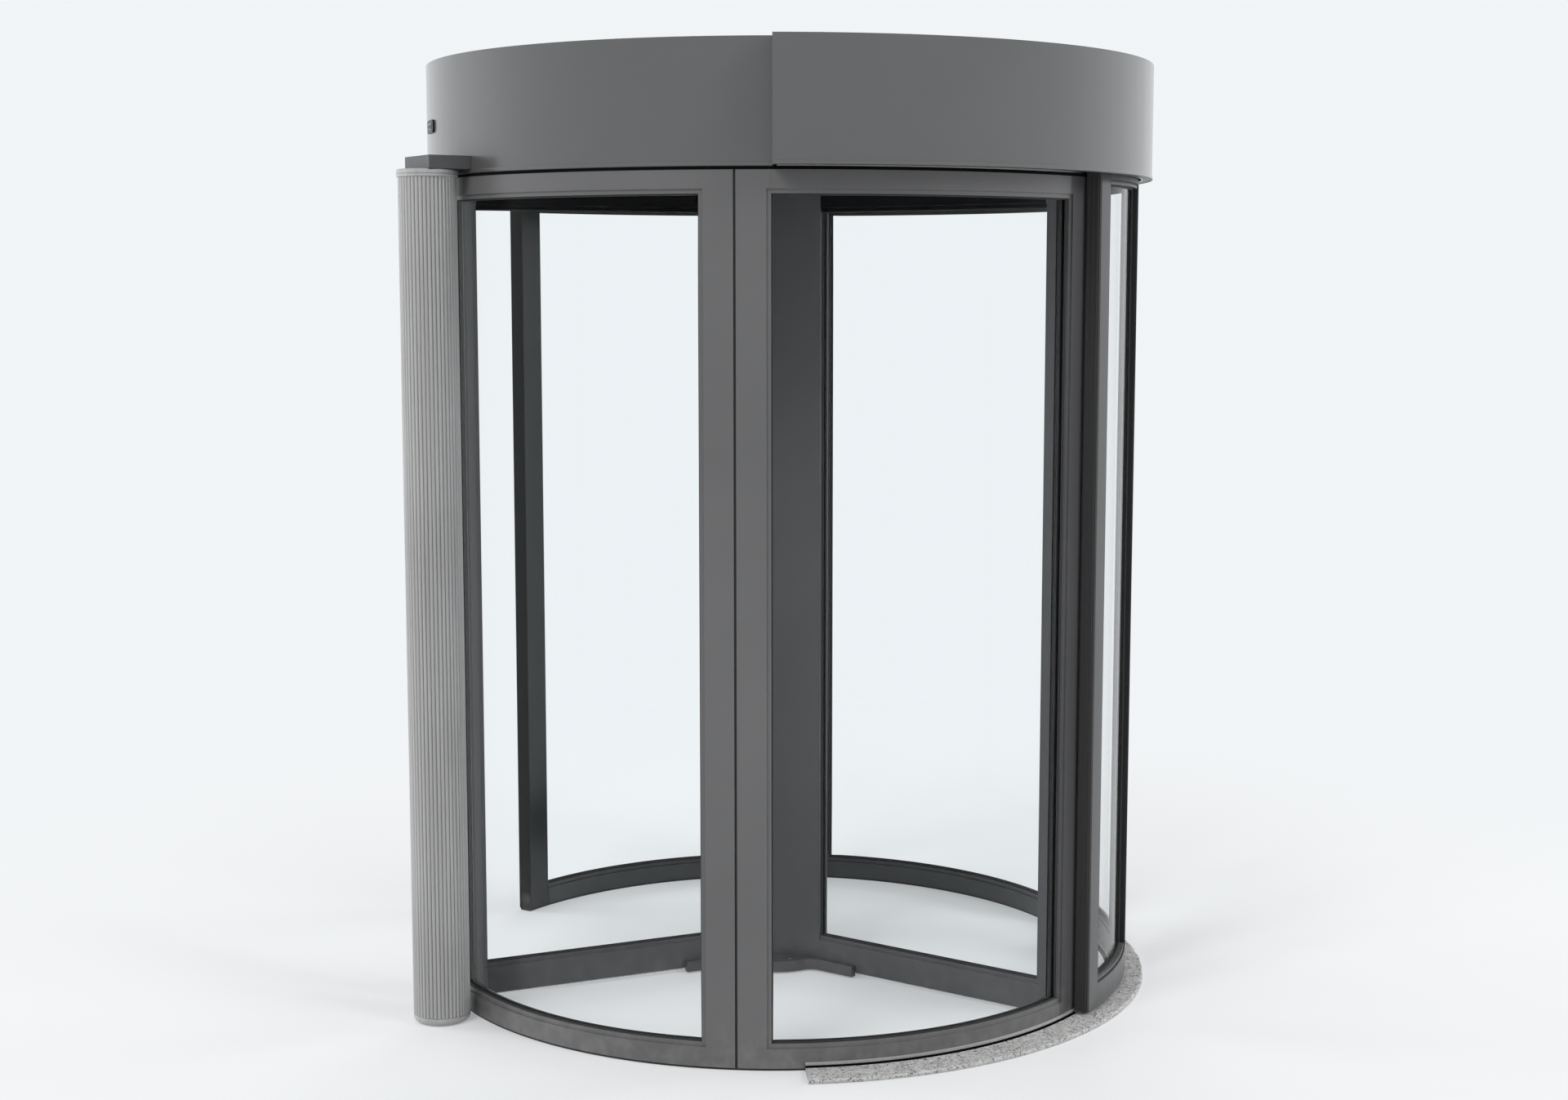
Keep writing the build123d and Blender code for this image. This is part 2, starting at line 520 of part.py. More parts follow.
def wing(name, bearing):
    """One flat wing: two rails, an outer stile, a pane held by the post, and edge brushes."""
    half = WING_THICKNESS / 2
    stile_in = WING_EDGE_RADIUS - WING_STILE_WIDTH
    pane_low, pane_high = WING_LOW + WING_BOTTOM_RAIL, WING_HIGH - WING_TOP_RAIL
    bead_across = (POST_TIP_RADIUS, stile_in + BEAD_WIDTH)
    bead_up = (pane_low - BEAD_WIDTH, pane_high + BEAD_WIDTH)
    rebate = block(bead_across, (half - BEAD_STEP, half + OVERRUN), bead_up)
    rebate += block(bead_across, (-half - OVERRUN, BEAD_STEP - half), bead_up)
    rebate += block(
        (POST_TIP_RADIUS, stile_in + GLASS_BITE + GLASS_FIT),
        (-GLASS_THICKNESS / 2 - GLASS_FIT, GLASS_THICKNESS / 2 + GLASS_FIT),
        (pane_low - GLASS_BITE - GLASS_FIT, pane_high + GLASS_BITE + GLASS_FIT),
    )
    side = (-half, half)
    bottom = block((POST_TIP_RADIUS, stile_in), side, (WING_LOW, pane_low)) - rebate
    top = block((POST_TIP_RADIUS, stile_in), side, (pane_high, WING_HIGH)) - rebate
    stile = block((stile_in, WING_EDGE_RADIUS), side, (WING_LOW, WING_HIGH)) - rebate
    glass = block(
        (POST_TIP_RADIUS - GLASS_BITE, stile_in + GLASS_BITE),
        (-GLASS_THICKNESS / 2, GLASS_THICKNESS / 2),
        (pane_low - GLASS_BITE, pane_high + GLASS_BITE),
    )
    brush = (-WING_BRUSH_THICKNESS / 2, WING_BRUSH_THICKNESS / 2)
    brushes = [
        block((POST_TIP_RADIUS, WING_EDGE_RADIUS), brush, (WING_CLEARANCE, WING_LOW)),
        block((POST_TIP_RADIUS, WING_EDGE_RADIUS), brush, (WING_HIGH, ROTOR_TOP)),
        block((WING_EDGE_RADIUS, WING_TIP_RADIUS), brush, (WING_LOW, WING_HIGH)),
    ]
    pieces = {
        f"{name}_wing_rails": [bottom, top],
        f"{name}_wing_stile": [stile],
        f"{name}_wing_glass": [glass],
        "wing_brushes": brushes,
    }
    return {node: [at_bearing(solid, bearing) for solid in solids] for node, solids in pieces.items()}


def build():
    """All nodes of the door, each with its solids."""
    nodes = {}
    for side, bearing in WALL_ANGLES.items():
        nodes.update(wall(side, bearing))
    nodes.update(wall_seals())
    nodes.update(canopy())
    nodes.update(head_track())
    nodes.update(night_leaves())
    nodes.update(sill())
    nodes.update(column())
    nodes.update(rotor_core())
    for index, name in enumerate(WING_NAMES):
        for node, solids in wing(name, FIRST_WING_ANGLE + index * WING_TURN).items():
            nodes.setdefault(node, []).extend(solids)
    return nodes


os.makedirs("parts", exist_ok=True)
for node, solids in build().items():
    pieces = [solid for shape in solids for solid in shape.solids()]
    export_step(Compound(children=pieces) if len(pieces) > 1 else pieces[0], f"parts/{node}.step")
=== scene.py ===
import math

import bmesh
import bpy
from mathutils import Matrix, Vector, noise


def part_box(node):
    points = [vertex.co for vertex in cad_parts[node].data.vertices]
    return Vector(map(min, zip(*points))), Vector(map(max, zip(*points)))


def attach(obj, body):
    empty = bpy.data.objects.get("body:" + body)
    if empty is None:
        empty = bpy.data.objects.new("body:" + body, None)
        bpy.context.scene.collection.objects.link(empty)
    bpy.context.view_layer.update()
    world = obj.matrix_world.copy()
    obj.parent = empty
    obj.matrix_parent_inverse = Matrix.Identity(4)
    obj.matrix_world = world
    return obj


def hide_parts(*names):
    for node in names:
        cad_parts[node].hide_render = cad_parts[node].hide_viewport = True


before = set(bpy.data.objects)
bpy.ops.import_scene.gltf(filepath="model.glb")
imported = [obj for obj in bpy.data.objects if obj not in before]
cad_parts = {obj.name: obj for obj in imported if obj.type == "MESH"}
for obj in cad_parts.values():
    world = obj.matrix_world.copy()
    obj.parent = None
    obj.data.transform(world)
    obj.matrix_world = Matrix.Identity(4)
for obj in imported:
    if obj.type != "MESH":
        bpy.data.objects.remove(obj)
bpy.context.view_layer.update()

bl_info = {
    "name": "Revolving door finishes",
    "version": (1, 0, 0),
    "blender": (4, 5, 0),
    "location": "3D View > Sidebar > Revolving door",
    "description": "Paints the revolving door and adds its seals, brushes, reeds, trims and screws",
    "category": "Object",
}

SIDES = ("near", "far")
WALL_BEARINGS = (0.0, 180.0)
WING_BEARINGS = (-60.0, 60.0, 180.0)
UP = Vector((0.0, 0.0, 1.0))
# Near black of the ceiling's joints, and of the strips that are painted shade.
JOINT_BLACK_AND_SHADE = (0.002, 0.002, 0.002)
FLOOR_DUST = (0.33, 0.32, 0.30)
# Pale grey of worn edges, partly a painted highlight.
WORN_AND_HIGHLIT_EDGE = (0.42, 0.42, 0.42)
SEEN_RAYS = ("Camera", "Glossy", "Transmission")


def length(name, description, default):
    return bpy.props.FloatProperty(
        name=name, description=description, default=default, unit="LENGTH", precision=5)


def angle(name, description, default):
    return bpy.props.FloatProperty(
        name=name, description=description, default=math.radians(default), subtype="ANGLE")


def share(name, description, default):
    return bpy.props.FloatProperty(
        name=name, description=description, default=default, min=0.0, subtype="FACTOR")


def colour(name, description, default):
    return bpy.props.FloatVectorProperty(
        name=name, description=description, default=default, size=3, subtype="COLOR")


class DoorFinishes(bpy.types.PropertyGroup):
    """Colours and gloss of the door's surfaces."""
    frame_paint: colour("Frame paint", "Grey coat on the outside of the drum", (0.112, 0.112, 0.114))
    canopy_paint: colour("Canopy paint", "Grey coat on the fascia bands", (0.070, 0.070, 0.071))
    # Painted shade: the dark inside coat stands in for the shade inside the drum.
    inside_painted_shade: colour(
        "Inside paint", "Dark coat on the faces that look into the drum", (0.011, 0.013, 0.013))
    # Painted shade: the end posts take a darker grey than the frames.
    post_painted_shade: colour("End post paint", "Darker coat on the wall ends", (0.084, 0.084, 0.088))
    rotor_paint: colour("Rotor paint", "Dark grey coat on the centre post", (0.066, 0.066, 0.070))
    wing_paint: colour("Wing paint", "Dark grey coat on the wings", (0.098, 0.098, 0.103))
    leaf_paint: colour("Leaf paint", "Grey coat on the night leaves", (0.090, 0.091, 0.093))
    ceiling_paint: colour("Ceiling paint", "Near black coat over the wings", (0.004, 0.004, 0.005))
    # Painted shade: black on the wings' top rails stands in for the shade and dark reflection under the
    # ceiling.
    wing_head_painted_shade: colour(
        "Wing head paint", "Black coat on the top rails of the wings", (0.003, 0.003, 0.004))
    column_paint: colour("Column paint", "Light grey coat on the reeded column", (0.345, 0.345, 0.345))
    rubber: colour("Rubber", "Black of the seals and glazing beads", (0.007, 0.007, 0.007))
    bristle: colour("Bristle", "Black of the nylon brushes", (0.018, 0.017, 0.017))
    granite_light: colour("Light grain", "Pale feldspar of the sill", (0.560, 0.560, 0.555))
    granite_grey: colour("Grey grain", "Quartz of the sill", (0.430, 0.430, 0.430))
    granite_dark: colour("Dark grain", "Mica of the sill", (0.090, 0.089, 0.088))
    steel: colour("Steel", "Machined and stainless parts", (0.560, 0.550, 0.530))
    glass_tint: colour("Glass tint", "What the panes let through", (0.985, 0.995, 0.996))
    glass_index: bpy.props.FloatProperty(
        name="Glass index", description="How strongly the panes bend and mirror light", default=1.10)
    coat_roughness: share("Coat roughness", "Roughness of the satin coats", 0.30)


class DoorSizes(bpy.types.PropertyGroup):
    """Sizes of the pieces that dress the solids, read in the door's own frame."""
    wall_radius: length("Wall radius", "Outer face of the drum wall", 0.945)
    wall_glass_inner: length("Wall glass inner", "Inner face of the bent wall pane", 0.9175)
    wall_glass_outer: length("Wall glass outer", "Outer face of the bent wall pane", 0.9275)
    wall_pane_low: length("Wall pane low", "Lower edge of the wall pane", 0.067)
    wall_pane_high: length("Wall pane high", "Upper edge of the wall pane", 2.136)
    wall_pane_start: angle("Wall pane start", "From the middle of a wall to its pane", 5.275)
    wall_pane_end: angle("Wall pane end", "From the middle of a wall to the far end of its pane", 57.543)
    wall_half: angle("Wall half", "From the middle of a wall to its end", 63.0)
    leaf_glass_inner: length("Leaf glass inner", "Inner face of the bent leaf pane", 0.961)
    leaf_glass_outer: length("Leaf glass outer", "Outer face of the bent leaf pane", 0.969)
    leaf_pane_low: length("Leaf pane low", "Lower edge of the leaf pane", 0.094)
    leaf_pane_high: length("Leaf pane high", "Upper edge of the leaf pane", 2.176)
    leaf_pane_start: angle("Leaf pane start", "Trailing edge of the near leaf's pane", 65.949)
    leaf_pane_end: angle("Leaf pane end", "Leading edge of the near leaf's pane", 86.209)
    leaf_bead: length("Leaf bead", "Width of the sunk border round a leaf's pane", 0.011)
    leaf_step: length("Leaf step", "Depth of the sunk border round a leaf's pane", 0.004)
    leaf_inner: length("Leaf inner", "Inner face of the night leaves", 0.952)
    leaf_outer: length("Leaf outer", "Outer face of the night leaves", 0.990)
    leaf_edge: angle("Leaf edge", "Bearing of the near leaf's soft edge", 61.666)
    meeting_half: length("Meeting half", "Half the width over both stiles where the leaves meet", 0.068)
    lip_radius: length("Lip radius", "Radius of the ribs on a leaf's soft edge", 0.0026)
    wing_pane_start: length("Wing pane start", "Edge of the wing pane at the post", 0.165)
    wing_pane_end: length("Wing pane end", "Edge of the wing pane at the outer stile", 0.860)
    wing_pane_low: length("Wing pane low", "Lower edge of the wing pane", 0.098)
    wing_pane_high: length("Wing pane high", "Upper edge of the wing pane", 2.116)
    wing_glass: length("Wing glass", "Thickness of the wing pane", 0.010)
    wing_half: length("Wing half", "Half the thickness of a wing frame", 0.020)
    sill_inner: length("Sill inner", "Inner edge of the stone sill", 0.953)
    sill_start: angle("Sill start", "Bearing at which the stone sill starts", 10.3)
    sensor_face: length("Sensor face", "Radius of the front of the presence sensors", 0.952)
    sensor_bearing: angle("Sensor bearing", "Bearing of the near presence sensor", -66.5)
    bead_radius: length("Bead radius", "Radius of the rubber glazing bead", 0.0028)
    brush_pitch: length("Brush pitch", "Distance between two tufts", 0.004)
    tuft_root: length("Tuft root", "Radius of a tuft at its holder", 0.0011)
    tuft_tip: length("Tuft tip", "Radius of a tuft at its tip", 0.0007)
    reed_radius: length("Reed radius", "Radius of one reed of the column", 0.00486)
    reed_count: bpy.props.IntProperty(name="Reeds", description="Reeds round the column", default=44, min=8)
    screw_radius: length("Screw radius", "Radius of a screw head", 0.0045)
    hem_height: length("Hem height", "Height of the folded lower edge of the canopy", 0.009)
    # Painted shade: the black joint strip stands in for the shadow beneath the canopy.
    shadow_joint: length("Shadow joint", "Black joint between wall and canopy", 0.008)


class DoorStage(bpy.types.PropertyGroup):
    """Camera, lamps and floor round the door."""
    camera_place: bpy.props.FloatVectorProperty(
        name="Camera place", description="Where the camera stands",
        default=(0.65674, -6.34718, 1.93879), subtype="TRANSLATION")
    camera_yaw: angle("Camera yaw", "Turn of the camera from +Y towards +X", -5.697)
    camera_pitch: angle("Camera pitch", "How far the camera looks down", 6.789)
    camera_lens: bpy.props.FloatProperty(
        name="Lens", description="Focal length on a 36 mm sensor, in millimetres", default=52.51)
    floor: colour("Floor", "Pale floor", (0.84, 0.845, 0.855))
    backdrop: colour("Backdrop", "Pale background", (0.885, 0.908, 0.925))
    ambient: share("Ambient", "Strength of the even light from all round", 0.35)
    lamp_power: bpy.props.FloatProperty(
        name="Lamp power", description="Power in watts that each lamp takes a share of", default=770.0)


def finishes():
    return bpy.context.scene.door_finishes


def lengths():
    return bpy.context.scene.door_sizes


class Value:
    """A node's output that takes part in Python sums."""

    def __init__(self, tree, socket):
        self.tree = tree
        self.socket = socket

    def __add__(self, other):
        return self.tree.sum("ADD", self, other)

    def __sub__(self, other):
        return self.tree.sum("SUBTRACT", self, other)

    def __rsub__(self, other):
        return self.tree.sum("SUBTRACT", other, self)

    def __mul__(self, other):
        return self.tree.sum("MULTIPLY", self, other)

    def __lt__(self, other):
        return self.tree.sum("LESS_THAN", self, other)

    def __abs__(self):
        return self.tree.sum("ABSOLUTE", self)

    __radd__ = __add__
    __rmul__ = __mul__

    def between(self, low, high):
        """A soft step from 0 at low to 1 at high."""
        return self.tree.add(
            "ShaderNodeMapRange", {"interpolation_type": "SMOOTHSTEP"}, {0: self, 1: low, 2: high})


class Tree:
    """Adds nodes to a material, a world or a geometry tree."""

    def __init__(self, tree):
        self.tree = tree

    def add(self, kind, settings=None, inputs=None, output=0):
        node = self.tree.nodes.new(kind)
        for name, value in (settings or {}).items():
            setattr(node, name, value)
        for key, given in (inputs or {}).items():
            for value in given if isinstance(given, list) else [given]:
                if isinstance(value, Value):
                    self.tree.links.new(value.socket, node.inputs[key])
                else:
                    node.inputs[key].default_value = value
        return Value(self, node.outputs[output]) if output is not None else node

    def sum(self, operation, *terms):
        return self.add("ShaderNodeMath", {"operation": operation}, dict(enumerate(terms)))

    def mix(self, factor, first, second):
        colours = [c if isinstance(c, Value) else (*c, 1.0) for c in (first, second)]
        return self.add("ShaderNodeMix", {"data_type": "RGBA"}, {0: factor, 6: colours[0], 7: colours[1]}, 2)

    def place(self, stretch=None):
        """Object coordinates, stretched along the axes if asked."""
        place = self.add("ShaderNodeTexCoord", output="Object")
        return self.add("ShaderNodeMapping", None, {"Vector": place, "Scale": stretch}) if stretch else place

    def noise(self, scale, detail=3.0, stretch=None):
        return self.add("ShaderNodeTexNoise", None, {
            "Vector": self.place(stretch), "Scale": scale, "Detail": detail})

    def cells(self, scale):
        """A random value for each cell of a Voronoi pattern."""
        cell = self.add("ShaderNodeTexVoronoi", None, {"Vector": self.place(), "Scale": scale}, "Color")
        return self.add("ShaderNodeSeparateXYZ", None, {0: cell})

    def parts(self):
        """The x, y and z of Object coordinates."""
        node = self.add("ShaderNodeSeparateXYZ", None, {0: self.place()}, None)
        return [Value(self, socket) for socket in node.outputs]

    def radius(self):
        """Distance from the turning axis."""
        flat = self.add("ShaderNodeVectorMath", {"operation": "MULTIPLY"}, {
            0: self.place(), 1: (1.0, 1.0, 0.0)})
        return self.add("ShaderNodeVectorMath", {"operation": "LENGTH"}, {0: flat}, "Value")

    def bump(self, height, strength, distance, **normal):
        """Normal of a surface with this relief, laid over another normal if one is given."""
        return self.add("ShaderNodeBump", None, {
            "Strength": strength, "Distance": distance, "Height": height, **normal})

    def rays(self, *kinds):
        """1 for rays of these kinds and 0 for others."""
        path = self.add("ShaderNodeLightPath", output=None).outputs
        found, *others = (Value(self, path[f"Is {kind} Ray"]) for kind in kinds)
        for other in others:
            found = self.sum("MAXIMUM", found, other)
        return found

    def surface(self, **sockets):
        """Principled shader wired to the material's output."""
        inputs = {name.replace("_", " "): value for name, value in sockets.items()}
        shader = self.add("ShaderNodeBsdfPrincipled", None, inputs)
        self.add("ShaderNodeOutputMaterial", None, {"Surface": shader}, None)

    def blend(self, factor, first, second, output="ShaderNodeOutputMaterial"):
        """Two shaders mixed by a factor and wired to the output."""
        both = self.add("ShaderNodeMixShader", None, {0: factor, 1: first, 2: second})
        self.add(output, None, {"Surface": both}, None)


def finish(make):
    """The material that a function wires, named after it and made when it is first asked for."""
    found = bpy.data.materials.get(make.__name__)
    if found is None:
        found = bpy.data.materials.new(make.__name__)
        found.use_nodes = True
        found.node_tree.nodes.clear()
        make(Tree(found.node_tree))
    return found


def shade(paint, factor):
    """A darker or lighter colour of the same hue."""
    return tuple(part * factor for part in paint)


def satin_coat(tree, paint, rough=0.0, dust=0.2, gloss=0.0, shine=0.5):
    """Powder coat: fine orange peel, faint clouds and wipe marks, rounded edges made lighter partly by wear
    and partly as a painted highlight.
    """
    edge_radius, dust_height = 0.0016, 0.16
    cloud = 0.93 + tree.noise(1.7, 4.0).between(0.3, 0.7) * 0.14
    wipe = tree.noise(1.0, 4.0, (26.0, 26.0, 1.6))
    peel = tree.noise(1400.0, 2.0)
    rounded = tree.add("ShaderNodeBevel", {"samples": 4}, {"Radius": edge_radius})
    facing = tree.add("ShaderNodeNewGeometry", output="Normal")
    along = tree.add("ShaderNodeVectorMath", {"operation": "DOT_PRODUCT"}, {0: rounded, 1: facing}, "Value")
    # Lighter edges: partly wear and partly a painted highlight.
    worn_and_highlit = (1.0 - along).between(0.04, 0.3) * tree.noise(35.0, 4.0).between(0.42, 0.62)
    skin = tree.add("ShaderNodeVectorMath", {"operation": "SCALE"}, {0: paint, "Scale": cloud})
    if dust:
        low = (1.0 - tree.parts()[2].between(0.0, dust_height)) * tree.noise(28.0, 5.0).between(0.35, 0.75)
        skin = tree.mix(low * dust, skin, FLOOR_DUST)
    skin = tree.mix(worn_and_highlit * 0.3, skin, WORN_AND_HIGHLIT_EDGE)
    tree.surface(Base_Color=skin, Roughness=finishes().coat_roughness + rough + wipe * 0.14,
                 Normal=tree.bump(peel, 0.07, 0.0004, Normal=rounded),
                 Coat_Weight=gloss, Coat_Roughness=0.2, Specular_IOR_Level=shine)


def drum_coat(tree, outside, part=1.0, shine=0.5):
    """One coat outside, and a dark glossy one of painted shade on the faces that look into the drum."""
    inner = lengths().wall_glass_inner
    # Painted shade: faces inside the wall glass turn dark.
    inward_shade = (1.0 - tree.radius().between(inner, inner + 0.004)) * part
    satin_coat(tree, tree.mix(inward_shade, outside, finishes().inside_painted_shade), dust=0.2 - inward_shade * 0.16,
               gloss=inward_shade * 0.7, shine=shine)


def frame_coat(tree):
    """Grey coat of the wall frames."""
    drum_coat(tree, finishes().frame_paint)


def post_coat(tree):
    """Darker coat as painted shade, with black painted shade in the rubber's colour on the faces that end the
    walls.
    """
    colours, half = finishes(), lengths().wall_half
    x, y, _ = tree.parts()
    # Painted shade: the faces that end the walls take the rubber's black.
    inside = abs(x) * math.cos(half) - abs(y) * math.sin(half) < -0.0006
    drum_coat(tree, tree.mix(inside, colours.rubber, colours.post_painted_shade), inside, 0.12)


def canopy_coat(tree):
    """Glossy grey fascia with a dull black underside that is painted shade."""
    colours, underside = finishes(), 2.2006
    # Painted shade: the underside of the canopy turns black.
    under = tree.parts()[2] < underside
    satin_coat(tree, tree.mix(under, colours.canopy_paint, colours.ceiling_paint), dust=0.0,
               gloss=1.0 - under)


def rotor_coat(tree):
    """Dark grey coat of the post, its foot cover and the wing stiles."""
    satin_coat(tree, finishes().rotor_paint, dust=0.12)


def wing_coat(tree):
    """Dark grey coat that turns black on the top rails, as painted shade and painted reflection of the dark
    ceiling.
    """
    colours, pane_high = finishes(), lengths().wing_pane_high
    # Painted shade: the coat goes black towards the top rails.
    head = tree.parts()[2].between(pane_high - 0.04, pane_high - 0.02)
    satin_coat(tree, tree.mix(head, colours.wing_paint, colours.wing_head_painted_shade), dust=0.12, shine=0.05)


def leaf_coat(tree):
    """Grey coat, with black painted shade on the stiles that meet and on the rails beneath the canopy."""
    colours, sizes = finishes(), lengths()
    _, y, z = tree.parts()
    # Painted shade: black where the leaves meet and beneath the canopy stands in for their shadow.
    meeting = 1.0 - abs(y).between(sizes.meeting_half - 0.002, sizes.meeting_half + 0.002)
    head = z.between(sizes.leaf_pane_high - 0.004, sizes.leaf_pane_high + 0.012)
    black = tree.sum("MAXIMUM", meeting, head)
    satin_coat(tree, tree.mix(black, colours.leaf_paint, colours.inside_painted_shade), dust=0.1, shine=0.2)


def column_coat(tree):
    """Light grey coat with fine upright streaks."""
    paint = finishes().column_paint
    streak = tree.noise(1.0, 3.0, (300.0, 300.0, 3.0)).between(0.3, 0.7)
    satin_coat(tree, tree.mix(streak, shade(paint, 0.90), shade(paint, 1.10)), 0.04)


def ceiling_coat(tree):
    """Near black panels with fine joints and faint scuffs."""
    paint, joint_radius, joint_half = finishes().ceiling_paint, 0.46, 0.0015
    ring = abs(tree.radius() - joint_radius) < joint_half
    joint = tree.sum("MAXIMUM", ring, abs(tree.parts()[0]) < joint_half)
    scuff = tree.noise(1.0, 3.0, (4.0, 4.0, 1.0)).between(0.45, 0.8)
    panel = tree.mix(scuff * 0.5, paint, shade(paint, 2.2))
    tree.surface(Base_Color=tree.mix(joint, panel, JOINT_BLACK_AND_SHADE), Roughness=0.42 + scuff * 0.2,
                 Normal=tree.bump(1.0 - joint, 0.4, 0.001), Specular_IOR_Level=0.0)


def joint_shadow(tree):
    """Painted shade: near black standing in for the shadow in a narrow joint, with a little dust."""
    dust = tree.noise(90.0, 4.0).between(0.5, 0.8)
    skin = tree.mix(dust * 0.4, JOINT_BLACK_AND_SHADE, (0.012, 0.012, 0.012))
    tree.surface(Base_Color=skin, Roughness=0.9 - dust * 0.1, Specular_IOR_Level=0.1)


def roof_zinc(tree):
    """Zinc sheet with soft spangle and settled dust."""
    dust = tree.noise(3.0, 6.0).between(0.35, 0.75)
    skin = tree.mix(tree.cells(38.0), (0.30, 0.31, 0.32), (0.42, 0.43, 0.44))
    skin = tree.mix(dust * 0.45, skin, (0.36, 0.345, 0.32))
    tree.surface(Base_Color=skin, Metallic=0.75 - dust * 0.55, Roughness=0.34 + dust * 0.4)


def black_rubber(tree):
    """Black rubber with chalky bloom and a fine upright grain."""
    paint = finishes().rubber
    bloom = tree.noise(60.0, 5.0).between(0.4, 0.8)
    grain = tree.noise(1.0, 2.0, (900.0, 900.0, 6.0))
    tree.surface(Base_Color=tree.mix(bloom * 0.4, paint, shade(paint, 3.0)), Roughness=0.62 + bloom * 0.2,
                 Normal=tree.bump(grain, 0.25, 0.0006), Specular_IOR_Level=0.12)


def brush_nylon(tree):
    """Black bristles, some a little paler than others."""
    paint = finishes().bristle
    tone = tree.noise(420.0, 2.0).between(0.3, 0.7)
    tree.surface(Base_Color=tree.mix(tone, shade(paint, 0.5), shade(paint, 2.2)), Roughness=0.38 + tone * 0.2)


def brushed_steel(tree):
    """Steel with upright grain and faint stains."""
    paint = finishes().steel
    grain = tree.noise(1.0, 3.0, (700.0, 700.0, 20.0))
    stain = tree.noise(9.0, 5.0).between(0.45, 0.8)
    tree.surface(Base_Color=tree.mix(stain * 0.4, paint, shade(paint, 0.6)), Metallic=1.0,
                 Roughness=0.26 + grain * 0.16 + stain * 0.1, Normal=tree.bump(grain, 0.12, 0.0003))


def screw_recess(tree):
    """Dark steel in the socket of a screw."""
    tone = tree.noise(500.0, 2.0)
    skin = tree.mix(tone, (0.008, 0.008, 0.008), (0.03, 0.03, 0.03))
    tree.surface(Base_Color=skin, Metallic=0.6, Roughness=0.45 + tone * 0.2)


def sensor_shell(tree):
    """Smooth black housing with faint dust."""
    dust = tree.noise(160.0, 5.0).between(0.5, 0.85)
    skin = tree.mix(dust * 0.3, (0.010, 0.010, 0.011), (0.10, 0.10, 0.10))
    tree.surface(Base_Color=skin, Roughness=0.34 + dust * 0.3, Specular_IOR_Level=0.3)


def sensor_window(tree):
    """Deep red-black infrared window."""
    depth = tree.noise(90.0, 2.0)
    skin = tree.mix(depth, (0.010, 0.001, 0.003), (0.035, 0.004, 0.008))
    tree.surface(Base_Color=skin, Roughness=0.12 + depth * 0.1, Specular_IOR_Level=0.25)


def flamed_granite(tree):
    """Granite with a rough burnt face: pale feldspar, grey quartz, dark mica, darker near the floor."""
    colours = finishes()
    grain, fleck = tree.cells(135.0), tree.cells(300.0)
    patch = tree.noise(34.0, 5.0)
    skin = tree.mix((grain + patch * 0.6).between(0.55, 0.85), colours.granite_light, colours.granite_grey)
    warm = tree.noise(11.0, 4.0).between(0.45, 0.7)
    skin = tree.mix(warm * 0.12, skin, (0.46, 0.42, 0.36))
    skin = tree.mix((fleck + patch * 0.35).between(1.00, 1.08), skin, colours.granite_dark)
    low = 1.0 - tree.parts()[2].between(0.001, 0.009)
    skin = tree.mix(low * 0.5, skin, (0.300, 0.297, 0.290))
    rough = tree.noise(260.0, 5.0)
    tree.surface(Base_Color=skin, Roughness=0.62 + grain * 0.25,
                 Normal=tree.bump(rough + grain * 0.3, 0.3, 0.0015))


def clear_glass(tree):
    """Clear pane that lets lamp light through, with faint smears."""
    tint = (*finishes().glass_tint, 1.0)
    smear = tree.noise(1.0, 5.0, (5.0, 5.0, 2.0)).between(0.52, 0.9)
    pane = tree.add("ShaderNodeBsdfPrincipled", None, {
        "Base Color": tint, "Roughness": smear * 0.02, "IOR": finishes().glass_index,
        "Transmission Weight": 1.0})
    clear = tree.add("ShaderNodeBsdfTransparent", None, {"Color": tint})
    tree.blend(tree.rays("Shadow", "Diffuse"), pane, clear)


def pale_floor(tree):
    """Matt floor that keeps the door's shadow and fades into the background further out."""
    stage = bpy.context.scene.door_stage
    glow_near, fade_start, fade_end = 0.3, 1.3, 4.0
    fade = tree.radius().between(fade_start, fade_end)
    far = (glow_near + fade * (1.0 - glow_near)) * tree.rays(*SEEN_RAYS)
    soft = tree.mix(tree.noise(0.8, 3.0), stage.floor, shade(stage.floor, 0.97))
    near = tree.add("ShaderNodeBsdfPrincipled", None, {"Base Color": soft, "Roughness": 0.6})
    glow = tree.add("ShaderNodeEmission", None, {"Color": (*stage.backdrop, 1.0)})
    tree.blend(far, near, glow)


def at(radius, bearing, height):
    """Point at a bearing in degrees, read from -Y towards +X."""
    turn = math.radians(bearing)
    return Vector((radius * math.sin(turn), -radius * math.cos(turn), height))


def arc(radius, height, size, first, last, step):
    """Profile points of a round edge: its centre, its radius and its turns in degrees."""
    turns = [math.radians(turn) for turn in range(first, last + 1, step)]
    return [(radius + size * math.cos(turn), height + size * math.sin(turn)) for turn in turns]


def sweep_ring(bm, profile, start, end, pitch=1.5):
    """Carry a closed profile of (radius, height) points round the axis and close both ends."""
    steps = max(1, round(abs(end - start) / pitch))
    rows = []
    for step in range(steps + 1):
        bearing = start + (end - start) * step / steps
        rows.append([bm.verts.new(at(radius, bearing, height)) for radius, height in profile])
    for first, second in zip(rows, rows[1:]):
        for index, corner in enumerate(first):
            previous = index - 1
            bm.faces.new((first[previous], corner, second[index], second[previous]))
    bm.faces.new(rows[0])
    bm.faces.new(rows[-1][::-1])


